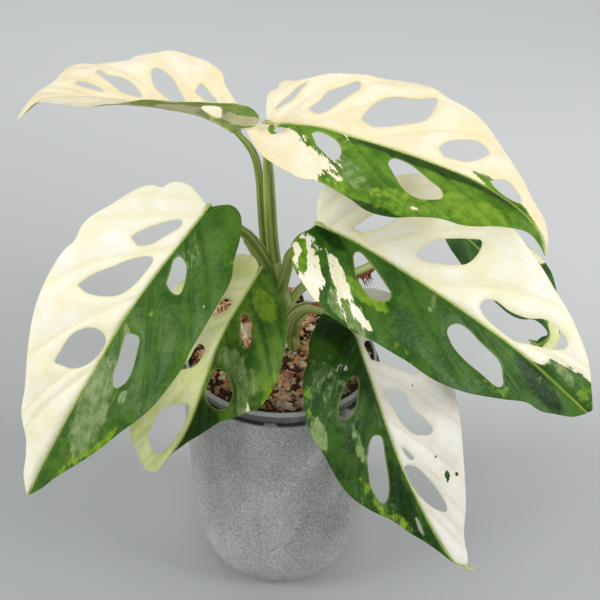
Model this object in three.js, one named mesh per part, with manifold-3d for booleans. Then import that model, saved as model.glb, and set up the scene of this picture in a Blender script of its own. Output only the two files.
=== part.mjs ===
// A variegated swiss cheese vine in its pot: seven holed leaves on stalks that leave one short stem,
// which stands in bark chips in a thin nursery pot, set into a round-bottomed concrete pot.
// Millimetres, +Z up, the origin at the middle of the concrete pot's foot, -Y towards the front.

import * as THREE from 'three';
import { mergeVertices } from 'three/addons/utils/BufferGeometryUtils.js';
import Module from 'manifold-3d';

const wasm = await Module();
wasm.setup();

// Sizes of the two pots and of what fills them
const POT_HEIGHT = 126;
const POT_RIM_RADIUS = 50;
const POT_WAIST_RADIUS = 45;
const POT_WAIST_HEIGHT = 38;
const POT_FOOT_RADIUS = 24;
const POT_WALL = 5;
const POT_FLOOR = 9;
const RIM_ROUNDING = 1;
const NURSERY_HEIGHT = 90;
const NURSERY_WALL = 1.2;
const NURSERY_BASE_RADIUS = 34;
const NECK_GAP = 0.8;
const COLLAR_RADIUS = 47.5;
const COLLAR_WALL = 1.5;
const COLLAR_HEIGHT = 6.2;
const DRAIN_HOLES = 6;
const DRAIN_HOLE_RADIUS = 3;
const DRAIN_HOLE_SIDES = 12;
const DRAIN_RING_RADIUS = 22;
const SOIL_BELOW_COLLAR = 2;
const SOIL_CROWN = 3;
const FIT_GAP = 0.3;

// Sizes of the plant
const BLADE_THICKNESS = 0.8;
const RIB_DEPTH = 1.4;
const RIB_HALF_WIDTH = 1.7;
const RIB_TAPER = 0.8;
const CURL_REFERENCE = 50;
const STALK_SEAT = 0.5;
const STEM_RADIUS = 3.2;
const STEM_HOLE_BOTTOM = 92;

const POT_SEGMENTS = 40;
const BOWL_STEPS = 6;
const STALK_SIDES = 8;
const STALK_STEPS_PER_POINT = 3;
const STEM_STEPS = 20;

// A seeded generator, so that every build gives the same chips and fibres
function seeded(seed) {
  let state = seed;
  return () => {
    state = (state * 1664525 + 1013904223) % 4294967296;
    return state / 4294967296;
  };
}

const radians = THREE.MathUtils.degToRad;
const vector = (point) => new THREE.Vector3(...point);

// A number, or a list of numbers spread evenly from the base of a leaf to its tip, read at 0 to 1
function alongLeaf(stops, place) {
  if (!Array.isArray(stops)) return stops;
  const last = stops.length - 1;
  const index = Math.min(last - 1, Math.floor(THREE.MathUtils.clamp(place, 0, 1) * last));
  const part = THREE.MathUtils.smoothstep(place * last - index, 0, 1);
  return THREE.MathUtils.lerp(stops[index], stops[index + 1], part);
}

// Solids: a closed geometry becomes a solid to cut and join, and turns back into a geometry
function toSolid(geometry) {
  const plain = new THREE.BufferGeometry();
  plain.setAttribute('position', geometry.getAttribute('position').clone());
  if (geometry.index) plain.setIndex(geometry.index.clone());
  const merged = mergeVertices(plain, 1e-4);
  return new wasm.Manifold(new wasm.Mesh({
    numProp: 3,
    vertProperties: new Float32Array(merged.getAttribute('position').array),
    triVerts: new Uint32Array(merged.index.array),
  }));
}

function toGeometry(solid) {
  const mesh = solid.getMesh();
  const geometry = new THREE.BufferGeometry();
  geometry.setAttribute('position', new THREE.BufferAttribute(mesh.vertProperties, 3));
  geometry.setIndex(new THREE.BufferAttribute(mesh.triVerts, 1));
  return geometry;
}

function largestPiece(solid) {
  return solid.decompose().reduce((kept, piece) => (piece.volume() > kept.volume() ? piece : kept));
}

// A round tube bent along a smooth curve, with its radius given at even stops from end to end
function bentTube(points, radii, sides, steps, extraRadius = 0) {
  const curve = new THREE.CatmullRomCurve3(points.map(vector), false, 'centripetal');
  const frames = curve.computeFrenetFrames(steps, false);
  const geometry = new THREE.CylinderGeometry(1, 1, 1, sides, steps);
  const position = geometry.getAttribute('position');
  for (let i = 0; i < position.count; i += 1) {
    const step = Math.round((position.getY(i) + 0.5) * steps);
    const radius = alongLeaf(radii, step / steps) + extraRadius;
    const place = curve.getPointAt(step / steps)
      .addScaledVector(frames.normals[step], position.getX(i) * radius)
      .addScaledVector(frames.binormals[step], -position.getZ(i) * radius);
    position.setXYZ(i, place.x, place.y, place.z);
  }
  return geometry;
}

// A profile of radius and height, turned about the upright axis
function turned(profile, segments) {
  return new THREE.LatheGeometry(profile, segments).rotateX(Math.PI / 2);
}

// The concrete pot: a quarter ellipse under a slightly flared wall, turned about the axis
function coverPot() {
  const outside = [new THREE.Vector2(0, 0)];
  for (let i = 0; i <= BOWL_STEPS; i += 1) {
    const turn = (Math.PI / 2) * (i / BOWL_STEPS);
    outside.push(new THREE.Vector2(
      POT_FOOT_RADIUS + (POT_WAIST_RADIUS - POT_FOOT_RADIUS) * Math.sin(turn),
      POT_WAIST_HEIGHT * (1 - Math.cos(turn)),
    ));
  }
  const inside = [];
  for (let i = 1; i <= BOWL_STEPS; i += 1) {
    const turn = (Math.PI / 2) * (1 - i / BOWL_STEPS);
    inside.push(new THREE.Vector2(
      (POT_WAIST_RADIUS - POT_WALL) * Math.sin(turn),
      POT_WAIST_HEIGHT + POT_FLOOR - POT_WAIST_HEIGHT * Math.cos(turn),
    ));
  }
  const profile = [
    ...outside,
    new THREE.Vector2(POT_RIM_RADIUS, POT_HEIGHT - RIM_ROUNDING),
    new THREE.Vector2(POT_RIM_RADIUS - RIM_ROUNDING, POT_HEIGHT),
    new THREE.Vector2(POT_RIM_RADIUS - POT_WALL, POT_HEIGHT),
    new THREE.Vector2(POT_WAIST_RADIUS - POT_WALL, POT_WAIST_HEIGHT + POT_FLOOR),
    ...inside,
  ];
  return turned(profile, POT_SEGMENTS);
}

const COLLAR_FOOT = POT_HEIGHT + FIT_GAP;
const COLLAR_TOP = COLLAR_FOOT + COLLAR_HEIGHT;
const NURSERY_FOOT = COLLAR_TOP - NURSERY_HEIGHT;
const NURSERY_NECK_RADIUS = POT_RIM_RADIUS - POT_WALL - NECK_GAP;
const SOIL_LEVEL = COLLAR_TOP - SOIL_BELOW_COLLAR;

// The nursery pot: a thin tapered cup whose collar rests on the concrete rim
function nurseryPot() {
  const neckInside = NURSERY_NECK_RADIUS - NURSERY_WALL;
  const profile = [
    new THREE.Vector2(0, NURSERY_FOOT),
    new THREE.Vector2(NURSERY_BASE_RADIUS, NURSERY_FOOT),
    new THREE.Vector2(NURSERY_NECK_RADIUS, COLLAR_FOOT),
    new THREE.Vector2(COLLAR_RADIUS, COLLAR_FOOT),
    new THREE.Vector2(COLLAR_RADIUS, COLLAR_TOP),
    new THREE.Vector2(COLLAR_RADIUS - COLLAR_WALL, COLLAR_TOP),
    new THREE.Vector2(COLLAR_RADIUS - COLLAR_WALL, COLLAR_FOOT + COLLAR_WALL),
    new THREE.Vector2(neckInside, COLLAR_FOOT),
    new THREE.Vector2(NURSERY_BASE_RADIUS - NURSERY_WALL, NURSERY_FOOT + NURSERY_WALL),
    new THREE.Vector2(0, NURSERY_FOOT + NURSERY_WALL),
  ];
  let cup = toSolid(turned(profile, POT_SEGMENTS));
  for (let i = 0; i < DRAIN_HOLES; i += 1) {
    const turn = (2 * Math.PI * i) / DRAIN_HOLES;
    const drill = new THREE.CylinderGeometry(
      DRAIN_HOLE_RADIUS,
      DRAIN_HOLE_RADIUS,
      4 * NURSERY_WALL,
      DRAIN_HOLE_SIDES,
    );
    drill.rotateX(Math.PI / 2);
    drill.translate(DRAIN_RING_RADIUS * Math.cos(turn), DRAIN_RING_RADIUS * Math.sin(turn), NURSERY_FOOT);
    cup = cup.subtract(toSolid(drill));
  }
  return toGeometry(cup);
}

// The stem stands upright in the chips and leans back as it thins towards the top
const STEM_PATH = [
  [6, 3, STEM_HOLE_BOTTOM + FIT_GAP], [6, 3, 112], [6, 3, 126], [6, 3, 137], [4, 3, 146], [3, 2, 155],
  [1, 1, 166], [-2, 0, 177], [-4, -1, 187],
];
const STEM_RADII = [STEM_RADIUS, STEM_RADIUS, STEM_RADIUS, 3.1, 3, 2.6];

// The chips: a crowned disc with angular pieces of bark and coir half sunk in it, and a hole for the stem
const CROWN_RINGS = [36, 18, 0];
const CHIP_COUNT = 52;
const CHIP_REACH = 40;
const CHIP_LIMIT = 44;
const CHIP_MIN = 3;
const CHIP_MAX = 5.6;
const CHIP_BLOCK = [1.7, 1.2, 1.6];
const CHIP_FLATNESS = 0.6;
const CHIP_TILT = 0.9;
const CHIP_RAISE = 0.1;
const CHIP_STRETCH = [0.8, 1.6];
const MORE_SMALL_CHIPS = 1.6;
const GOLDEN_TURN = Math.PI * (3 - Math.sqrt(5));
const TURN_JITTER = 0.4;
const CHIP_CLEARANCE = 9;
const STEM_HOLE_DEPTH = 60;
const STEM_HOLE_SIDES = 16;
const COIR_LUMPS = [[11, 37, 134, 7], [4, 36, 133, 6], [17, 33, 132, 5.5], [-8, -36, 131, 4.6]];

function soilHeight(radius) {
  return SOIL_LEVEL + SOIL_CROWN * (1 - (radius / COLLAR_RADIUS) ** 2);
}

function soil() {
  const insideCollar = COLLAR_RADIUS - COLLAR_WALL - FIT_GAP;
  const neck = NURSERY_NECK_RADIUS - NURSERY_WALL - FIT_GAP;
  const foot = NURSERY_BASE_RADIUS - NURSERY_WALL - FIT_GAP;
  const footHeight = NURSERY_FOOT + NURSERY_WALL + FIT_GAP;
  const profile = [
    new THREE.Vector2(0, footHeight),
    new THREE.Vector2(foot, footHeight),
    new THREE.Vector2(neck, COLLAR_FOOT),
    new THREE.Vector2(insideCollar, COLLAR_FOOT + COLLAR_WALL + 2 * FIT_GAP),
    new THREE.Vector2(insideCollar, soilHeight(insideCollar)),
  ];
  for (const radius of CROWN_RINGS) {
    profile.push(new THREE.Vector2(radius, soilHeight(radius)));
  }
  let heap = toSolid(turned(profile, POT_SEGMENTS));
  const random = seeded(41);
  const chip = (shape, x, y, z, size, stretch) => {
    const grain = shape.scale(size * stretch, size, size * CHIP_FLATNESS);
    const tilt = new THREE.Euler(random() * CHIP_TILT, random() * CHIP_TILT, random() * Math.PI * 2, 'ZXY');
    grain.applyQuaternion(new THREE.Quaternion().setFromEuler(tilt));
    grain.translate(x, y, z);
    return toSolid(grain);
  };
  const [stemX, stemY] = STEM_PATH[0];
  for (let i = 0; i < CHIP_COUNT; i += 1) {
    const radius = CHIP_REACH * Math.sqrt((i + 0.5) / CHIP_COUNT);
    const turn = i * GOLDEN_TURN + random() * TURN_JITTER;
    const size = THREE.MathUtils.lerp(CHIP_MIN, CHIP_MAX, random() ** MORE_SMALL_CHIPS);
    const x = radius * Math.cos(turn);
    const y = radius * Math.sin(turn);
    const longest = Math.min(CHIP_STRETCH[1], (CHIP_LIMIT - radius) / size);
    const stretch = THREE.MathUtils.lerp(CHIP_STRETCH[0], longest, random());
    const shape = new THREE.BoxGeometry(...CHIP_BLOCK);
    const grain = chip(shape, x, y, soilHeight(radius) + size * CHIP_RAISE, size, stretch);
    if (Math.hypot(x - stemX, y - stemY) > CHIP_CLEARANCE) heap = heap.add(grain);
  }
  for (const [x, y, z, size] of COIR_LUMPS) {
    heap = heap.add(chip(new THREE.DodecahedronGeometry(1, 0), x, y, z, size, 1));
  }
  const holeRadius = STEM_RADIUS + FIT_GAP;
  const hole = new THREE.CylinderGeometry(holeRadius, holeRadius, STEM_HOLE_DEPTH, STEM_HOLE_SIDES);
  hole.rotateX(Math.PI / 2);
  hole.translate(stemX, stemY, STEM_HOLE_BOTTOM + STEM_HOLE_DEPTH / 2);
  return toGeometry(largestPiece(heap.subtract(toSolid(hole))));
}

// Each leaf is measured flat, in millimetres: u runs along the midrib from the stalk to the tip, and
// v to the right of it, as seen by someone on the leaf's face who looks towards the tip.
// spine    the midrib's points in space
// facing   the way the upper face looks, at even stops from base to tip
// rise     how many degrees the right and left halves fold up, and curl how much they go on bending
// right    the outline of that half, as [u, v] from the base to the tip, and left likewise
// holes    [u, v, length, width, turn in degrees, how much wider the far end is, bend]
const LEAVES = {
  leaf_upper_left: {
    spine: [[-21, 4, 253], [-38, 10, 258], [-62, 20, 257], [-83, 28, 255], [-101, 34, 252],
      [-117, 40, 247], [-129, 43, 236]],
    facing: [[0, 0.24, 0.97], [0, 0.13, 0.99], [0, 0, 1]],
    rise: { right: [31, 24, 12], left: [42, 20.5, 16, 8, 2.5, 1] },
    curl: { right: 0, left: 0 },
    right: [[0, 0], [-3, 4], [-1, 11], [7, 18], [22, 29], [37, 37], [52, 39], [62, 35], [72, 30],
      [83, 28], [93, 27], [101, 21], [106, 13], [112, 7], [120, 3], [127, 0]],
    left: [[0, 0], [-2, 6], [-9, 14], [-11, 24], [-7, 30], [0, 28], [9, 26], [22, 28], [44, 29],
      [66, 23], [88, 14], [104, 7], [118, 2], [127, 0]],
    holes: {
      right: [[81, 10, 16, 4, 16, 0, 0], [66, 14, 32, 7, 26, -0.3, -1], [43, 17, 31, 9, 44, 0, 1],
        [23, 17, 16, 5, 35, 0.3, 0]],
      left: [[10, 14, 16, 5, 67, 0.1, 0], [41, 14, 20, 7, 33, 0.2, 0]],
    },
  },
  leaf_upper_right: {
    spine: [[-8, 2, 258], [13, -4, 260], [31, -10, 258], [49, -17, 256], [67, -24, 253],
      [84, -32, 249], [99, -39, 242], [109, -43, 233], [113, -45, 222]],
    facing: [[0, -0.34, 0.94], [0.1, -0.34, 0.94], [0.6, -0.34, 0.7]],
    rise: { right: 4, left: 4 },
    curl: { right: -12, left: -8 },
    right: [[0, 0], [-9, 5], [-8, 12], [0, 16], [12, 25], [27, 32], [40, 31], [64, 36], [80, 33],
      [97, 27], [118, 17], [130, 8], [145, 0]],
    left: [[0, 0], [-4, 16], [-1, 23], [6, 27], [13, 26], [26, 34], [40, 39], [52, 42], [67, 40],
      [88, 32], [99, 24], [111, 15], [123, 10], [134, 6], [145, 0]],
    holes: {
      right: [[7, 3, 5, 4, 36, 0, 0], [31, 8, 21, 9, 37, 0.2, 0.5], [73, 12, 31, 13, 24, 0.2, -2]],
      left: [[8, 16, 19, 5, 59, 0, 0], [26, 19, 27, 7, 60, -0.4, 0.5], [53, 22, 35, 16, 45, 0.1, 0.4],
        [85, 13, 21, 11, 33, 0.1, 0.6], [108, 7, 15, 6, 15, 0.2, 0]],
    },
  },
  leaf_left: {
    spine: [[-33, -18, 226], [-65, -42, 189], [-86, -57, 156], [-104, -66, 123], [-116, -70, 98]],
    facing: [[-0.3, -0.72, 0.62], [-0.3, -0.72, 0.62]],
    rise: { right: 5, left: 16 },
    curl: { right: -4, left: -10 },
    right: [[0, 0], [-2, 12], [2, 21], [9, 28], [20, 36], [30, 39], [41, 43], [50, 39], [62, 42],
      [78, 41], [92, 37], [107, 30], [126, 23], [143, 12], [163, 0]],
    left: [[0, 0], [-6, 5], [-7, 12], [-3, 20], [10, 31], [26, 37], [46, 41], [64, 41], [83, 36],
      [101, 31], [120, 21], [145, 9], [163, 0]],
    holes: {
      right: [[23, 11, 25, 6, 29, 0, 0], [49, 15, 34, 13, 40, -0.3, 4], [85, 11, 28, 14, 25, -0.1, 0]],
      left: [[32, 9, 19, 10, 46, 0.3, 0], [77, 12, 28, 13, 10, 0, -2.5]],
    },
  },
  leaf_lower_left: {
    spine: [[-10, -16, 192], [-18, -29, 183], [-26, -40, 172], [-33, -49, 155], [-42, -58, 130],
      [-55, -62, 108]],
    facing: [[-0.3, -0.75, 0.6], [-0.3, -0.75, 0.6]],
    rise: { right: 8, left: 8 },
    curl: { right: -6, left: -8 },
    right: [[0, 0], [-4, 6], [0, 15], [14, 26], [34, 32], [58, 33], [80, 30], [96, 26], [105, 22],
      [111, 16], [114, 9], [111, 0]],
    left: [[0, 0], [-3, 4], [4, 14], [17, 25], [33, 32], [46, 32], [58, 28], [71, 17], [82, 8],
      [96, 2], [104, 1], [111, 0]],
    holes: {
      right: [[23, 6, 11, 4.5, 23, -0.1, 0], [49, 8, 15, 6, 19, 0, 1], [87, 9, 29, 13, 10, 0.2, -1.5]],
      left: [[28, 9, 15, 6, 29, 0.2, 0], [59, 8, 18, 14, 5, 0, -1.4]],
    },
  },
  leaf_right: {
    spine: [[16, -22, 221], [36, -25, 212], [73, -31, 190], [111, -36, 163], [145, -40, 132]],
    facing: [[0.15, -0.66, 0.74], [0.15, -0.66, 0.74]],
    rise: { right: 10, left: 6 },
    curl: { right: -8, left: -4 },
    right: [[0, 0], [-7, 10], [-6, 20], [4, 30], [20, 36], [34, 38], [54, 37], [70, 37], [87, 35],
      [105, 29], [126, 18], [138, 15], [151, 8], [161, 0]],
    left: [[0, 0], [-5, 9], [-4, 18], [4, 28], [19, 35], [28, 42], [40, 47], [60, 48], [77, 46], [88, 43],
      [106, 37], [118, 32], [130, 25], [143, 18], [153, 10], [161, 0]],
    holes: {
      right: [[31, 12, 27, 12, 27, 0.2, -2.5], [94, 15, 39, 13, 12, -0.3, 1.5]],
      left: [[23, 12, 22, 6, 48, 0.1, 0.7], [58, 20, 32, 12, 41, 0.2, 1], [106, 12, 48, 12, 10, 0.2, 1.5]],
    },
  },
  leaf_lower_right: {
    spine: [[21, -16, 169], [34, -24, 164], [41, -36, 151], [59, -56, 109], [83, -64, 62], [94, -65, 52]],
    facing: [[0.33, -0.75, 0.57], [0.33, -0.75, 0.57]],
    rise: { right: 8, left: 8 },
    curl: { right: -10, left: -4 },
    right: [[0, 0], [-1, 13], [6, 26], [18, 32], [35, 35], [50, 38], [65, 36], [75, 34], [86, 29],
      [100, 20], [117, 12], [140, 4], [155, 0]],
    left: [[0, 0], [-2, 8], [6, 20], [22, 30], [42, 36], [60, 37], [72, 36], [94, 31], [112, 25],
      [130, 18], [147, 9], [155, 0]],
    holes: {
      right: [[44, 14, 20, 8, 35, 0, 0.4], [79, 12, 31, 10, 22, 0.1, -0.7], [117, 6, 10, 3, 7, 0.5, 0]],
      left: [[36, 11, 29, 7, 47, -0.5, 2.3], [63, 12, 32, 9, 24, -0.3, 2.4], [81, 5, 9, 3, 21, 0, 0],
        [102, 6, 34, 11, 11, 0, -0.7]],
    },
  },
  leaf_back: {
    spine: [[83, 58, 176], [100, 66, 157], [118, 70, 137], [136, 72, 117], [148, 70, 99], [143, 66, 92],
      [136, 62, 99]],
    facing: [[0.55, -0.35, 0.75], [0.6, -0.3, 0.7], [0.6, -0.3, 0.7]],
    rise: { right: 8, left: 8 },
    curl: { right: -4, left: -4 },
    right: [[0, 0], [-5, 8], [-4, 16], [5, 21], [14, 24], [32, 28], [50, 29], [62, 26], [75, 19],
      [88, 9], [100, 5], [112, 3], [124, 0]],
    left: [[0, 0], [-5, 7], [-4, 15], [6, 22], [20, 26], [37, 28], [54, 28], [69, 30], [84, 30],
      [92, 25], [98, 18], [104, 11], [113, 4], [124, 0]],
    holes: {
      right: [[24, 9, 14, 5, 30, 0.1, 0], [50, 9, 16, 5, 18, 0.1, 0]],
      left: [[26, 10, 16, 6, 34, 0.1, 0], [52, 10, 17, 5, 20, 0.1, 0]],
    },
  },
};

// The bent sheet of one leaf: where a point u along and v across lies in space, and its face's normal
class Sheet {
  constructor(leaf) {
    this.leaf = leaf;
    this.curve = new THREE.CatmullRomCurve3(leaf.spine.map(vector), false, 'catmullrom', 0.5);
    this.curve.arcLengthDivisions = 400;
    this.length = this.curve.getLength();
  }

  frame(u) {
    const place = THREE.MathUtils.clamp(u / this.length, 0, 1);
    const along = this.curve.getTangentAt(place);
    const middle = this.curve.getPointAt(place).addScaledVector(along, u - place * this.length);
    const facing = new THREE.Vector3(...[0, 1, 2].map(
      (axis) => alongLeaf(this.leaf.facing.map((way) => way[axis]), place),
    ));
    const up = facing.addScaledVector(along, -facing.dot(along)).normalize();
    const right = new THREE.Vector3().crossVectors(along, up);
    return { place, along, middle, up, right };
  }

  at(u, v) {
    const { place, middle, up, right } = this.frame(u);
    const half = v < 0 ? 'left' : 'right';
    const out = right.multiplyScalar(v < 0 ? -1 : 1);
    const rise = radians(alongLeaf(this.leaf.rise[half], place));
    const bend = radians(alongLeaf(this.leaf.curl[half], place)) / CURL_REFERENCE;
    const reach = Math.abs(v);
    const turned = rise + bend * reach;
    const across = bend ? (Math.sin(turned) - Math.sin(rise)) / bend : reach * Math.cos(rise);
    const lift = bend ? (Math.cos(rise) - Math.cos(turned)) / bend : reach * Math.sin(rise);
    const point = middle.addScaledVector(out, across).addScaledVector(up, lift);
    const normal = v === 0 ? up.clone()
      : up.clone().multiplyScalar(Math.cos(turned)).addScaledVector(out, -Math.sin(turned));
    return { point, normal };
  }
}

const HOLE_FEWEST_POINTS = 8;

// The rounded slit of one hole, counter-clockwise in the leaf's flat measure
function holeOutline([u, v, length, width, turn, taper, bend], side, spacing) {
  const wayRound = 2.2 * length + width;
  const count = Math.max(HOLE_FEWEST_POINTS, Math.round(wayRound / spacing));
  const points = [];
  for (let i = 0; i < count; i += 1) {
    const angle = (side * 2 * Math.PI * i) / count;
    const x = (length / 2) * Math.cos(angle);
    const y = (width / 2) * Math.sin(angle) * (1 + taper * Math.cos(angle))
      + bend * (Math.cos(angle) ** 2 - 0.5);
    const lean = radians(turn);
    points.push(new THREE.Vector2(
      u + x * Math.cos(lean) - y * Math.sin(lean),
      side * (v + x * Math.sin(lean) + y * Math.cos(lean)),
    ));
  }
  return points;
}

function halfOutline(points, side, spacing) {
  const curve = new THREE.SplineCurve(points.map(([u, v]) => new THREE.Vector2(u, side * v)));
  return curve.getSpacedPoints(Math.round(curve.getLength() / spacing));
}

function inside(loop, x, y) {
  let within = false;
  for (let i = 0, j = loop.length - 1; i < loop.length; j = i, i += 1) {
    const a = loop[i];
    const b = loop[j];
    if ((a.y > y) !== (b.y > y) && x < ((b.x - a.x) * (y - a.y)) / (b.y - a.y) + a.x) within = !within;
  }
  return within;
}

// Delaunay triangles of a set of points, by adding the points one at a time
function delaunay(points) {
  const far = 4000;
  const corners = [new THREE.Vector2(-far, -far), new THREE.Vector2(far, -far), new THREE.Vector2(0, far)];
  const all = [...points, ...corners];
  const circle = (a, b, c) => {
    const p = all[a];
    const q = all[b];
    const r = all[c];
    const d = 2 * (p.x * (q.y - r.y) + q.x * (r.y - p.y) + r.x * (p.y - q.y));
    const pp = p.lengthSq();
    const qq = q.lengthSq();
    const rr = r.lengthSq();
    const x = (pp * (q.y - r.y) + qq * (r.y - p.y) + rr * (p.y - q.y)) / d;
    const y = (pp * (r.x - q.x) + qq * (p.x - r.x) + rr * (q.x - p.x)) / d;
    return { a, b, c, x, y, reach: (p.x - x) ** 2 + (p.y - y) ** 2 };
  };
  let triangles = [circle(points.length, points.length + 1, points.length + 2)];
  points.forEach((point, index) => {
    const rim = new Map();
    const kept = [];
    for (const triangle of triangles) {
      if ((point.x - triangle.x) ** 2 + (point.y - triangle.y) ** 2 >= triangle.reach) {
        kept.push(triangle);
      } else {
        const { a, b, c } = triangle;
        for (const [from, to] of [[a, b], [b, c], [c, a]]) {
          if (!rim.delete(`${to} ${from}`)) rim.set(`${from} ${to}`, [from, to]);
        }
      }
    }
    triangles = kept;
    for (const [from, to] of rim.values()) triangles.push(circle(from, to, index));
  });
  return triangles.filter(({ a, b, c }) => Math.max(a, b, c) < points.length);
}

// One leaf: its flat outline and holes are split into triangles, bent with the sheet, and given
// the same triangles on both faces and a rib along the back of the midrib. Growth thickens it.
const EDGE_SPACING = 4.2;
const HOLE_SPACING = 3.4;
const FIELD_SPACING = 8.5;
const RIB_SPACING = 5;
const RIB_CLEARANCE = 1.8;
const RIB_FOOT = 1.6 * RIB_HALF_WIDTH;
const RIB_FOOT_CLEARANCE = 2.2;
const FIELD_START = 9;
const FIELD_ROW = 0.87 * FIELD_SPACING;
const FIELD_CLEARANCE = 0.55 * FIELD_SPACING;
const LOBE_LENGTH = 20;
const WIDEST_HALF = 60;
const POINT_JITTER = 0.02;

function blade(leaf, growth = 0) {
  const sheet = new Sheet(leaf);
  const rightEdge = halfOutline(leaf.right, 1, EDGE_SPACING);
  const leftEdge = halfOutline(leaf.left, -1, EDGE_SPACING);
  const outline = [...rightEdge, ...leftEdge.reverse().slice(1, -1)];
  const holes = [
    ...leaf.holes.right.map((hole) => holeOutline(hole, 1, HOLE_SPACING)),
    ...leaf.holes.left.map((hole) => holeOutline(hole, -1, HOLE_SPACING)),
  ];
  const edges = [...outline, ...holes.flat()];
  const points = [...edges];
  const random = seeded(7);
  const addField = (u, v, clear) => {
    const point = new THREE.Vector2(u + (random() - 0.5) * POINT_JITTER, v);
    const free = points.every((other) => other.distanceTo(point) > clear);
    if (free && inside(outline, u, v) && !holes.some((hole) => inside(hole, u, v))) points.push(point);
  };
  for (let u = RIB_SPACING / 2; u < sheet.length; u += RIB_SPACING) addField(u, 0, RIB_CLEARANCE);
  for (let u = 0; u < sheet.length; u += RIB_SPACING) {
    addField(u, RIB_FOOT, RIB_FOOT_CLEARANCE);
    addField(u, -RIB_FOOT, RIB_FOOT_CLEARANCE);
  }
  for (let row = 0; row * FIELD_SPACING < WIDEST_HALF; row += 1) {
    const v = FIELD_START + row * FIELD_ROW;
    const rowStart = (row % 2) * (FIELD_SPACING / 2) - LOBE_LENGTH;
    for (let u = rowStart; u < sheet.length; u += FIELD_SPACING) {
      addField(u, v, FIELD_CLEARANCE);
      addField(u, -v, FIELD_CLEARANCE);
    }
  }
  const triangles = delaunay(points).filter(({ a, b, c }) => {
    const x = (points[a].x + points[b].x + points[c].x) / 3;
    const y = (points[a].y + points[b].y + points[c].y) / 3;
    return inside(outline, x, y) && !holes.some((hole) => inside(hole, x, y));
  });
  return thicken(sheet, points, triangles, BLADE_THICKNESS / 2 + growth);
}

function thicken(sheet, points, triangles, halfThickness) {
  const count = points.length;
  const positions = new Float32Array(count * 6);
  points.forEach((flat, i) => {
    const { point, normal } = sheet.at(flat.x, Math.abs(flat.y) < 1e-6 ? 0 : flat.y);
    const rib = RIB_DEPTH * (1 - (RIB_TAPER * Math.max(0, flat.x)) / sheet.length)
      * Math.exp(-((flat.y / RIB_HALF_WIDTH) ** 2));
    point.clone().addScaledVector(normal, halfThickness).toArray(positions, i * 3);
    point.clone().addScaledVector(normal, -halfThickness - rib).toArray(positions, (count + i) * 3);
  });
  const index = [];
  const open = new Map();
  for (const { a, b, c } of triangles) {
    const turn = (points[b].x - points[a].x) * (points[c].y - points[a].y)
      - (points[b].y - points[a].y) * (points[c].x - points[a].x);
    const [p, q, r] = turn < 0 ? [a, b, c] : [a, c, b];
    index.push(p, q, r, count + p, count + r, count + q);
    for (const [from, to] of [[p, q], [q, r], [r, p]]) {
      if (!open.delete(`${to} ${from}`)) open.set(`${from} ${to}`, [from, to]);
    }
  }
  for (const [from, to] of open.values()) {
    index.push(from, count + from, to, to, count + from, count + to);
  }
  const geometry = new THREE.BufferGeometry();
  geometry.setAttribute('position', new THREE.BufferAttribute(positions, 3));
  geometry.setIndex(index);
  return geometry;
}

// Each leaf's stalk runs from the stem to the rib under the base of its leaf's midrib
const STALKS = {
  stalk_upper_right: {
    leaf: 'leaf_upper_right',
    path: [[-2.5, 0.5, 170], [-3.8, 0.2, 186], [-5.2, 0.3, 198], [-6.2, 0.6, 215], [-7, 0.9, 231],
      [-7.6, 1, 243]],
    radii: [2.6, 2.5, 2.4, 2.3, 2.2, 1.8, 1.3],
  },
  stalk_upper_left: {
    leaf: 'leaf_upper_left',
    path: [[-3, 0.5, 170], [-6, 1.5, 183], [-8.8, 2.5, 196], [-10.2, 3, 213], [-11.2, 3.5, 228],
      [-12.8, 3.8, 238], [-15.9, 4, 245]],
    radii: [2.3, 2.2, 2.1, 2, 1.9, 1.7, 1.2],
  },
  stalk_left: {
    leaf: 'leaf_left',
    path: [[-1, 0, 167], [-4.5, 0, 177], [-7.8, -1, 185], [-11.5, -3.2, 194], [-15.3, -6, 202],
      [-18.8, -9, 208.5]],
    radii: [3.2, 3.4, 3.5, 3.4, 3, 2.4, 1.7],
  },
  stalk_right: {
    leaf: 'leaf_right',
    path: [[0, 1, 162], [-0.5, -1, 171], [0.5, -3, 178], [2.5, -6.5, 189], [4.5, -10.5, 199]],
    radii: [2.6, 2.5, 2.2, 1.9, 1.4],
  },
  stalk_lower_right: {
    leaf: 'leaf_lower_right',
    path: [[4, 3, 141], [5, -1, 149], [6, -5, 157], [9, -8, 163], [13, -10.5, 166.5]],
    radii: [3.1, 3.2, 3, 2.5, 1.6],
  },
  stalk_lower_left: {
    leaf: 'leaf_lower_left',
    path: [[2, 2, 156], [-1, -4, 168], [-6, -10, 182]],
    radii: [2.2, 2, 1.7, 1.3],
  },
  stalk_back: {
    leaf: 'leaf_back',
    path: [[2, 2, 158], [13, 14, 165], [40, 32, 162], [64, 47, 170]],
    radii: [2.4, 2.3, 2, 1.8, 1.4],
  },
};

// A stalk ends inside the rib, a step along the midrib, and is cut back to leave a gap to the leaf
function stalkSeat(sheet) {
  const { middle, up } = sheet.frame(STALK_SEAT);
  return middle.addScaledVector(up, -BLADE_THICKNESS / 2 - RIB_DEPTH / 2).toArray();
}

function roomForLeaf(leaf, sheet) {
  const grown = toSolid(blade(leaf, FIT_GAP));
  const towardsStalk = sheet.frame(0).along.multiplyScalar(-FIT_GAP);
  return grown.add(grown.translate(towardsStalk.toArray()));
}

// A few dry fibres hang under the back leaf's stalk, where its withered sheath was
const FIBRE_COUNT = 9;
const FIBRE_LENGTH = [4, 8];
const FIBRE_RADII = [0.6, 0.55, 0.35];
const FIBRE_SIDES = 3;
const CORE_RADII = [0.8, 1.3, 1.3, 0.7];
const CORE_SIDES = 6;
const FIBRE_CORE = [[36, 29.6, 158.7], [41, 32.6, 158.6], [46, 35.6, 159.6]];

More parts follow.
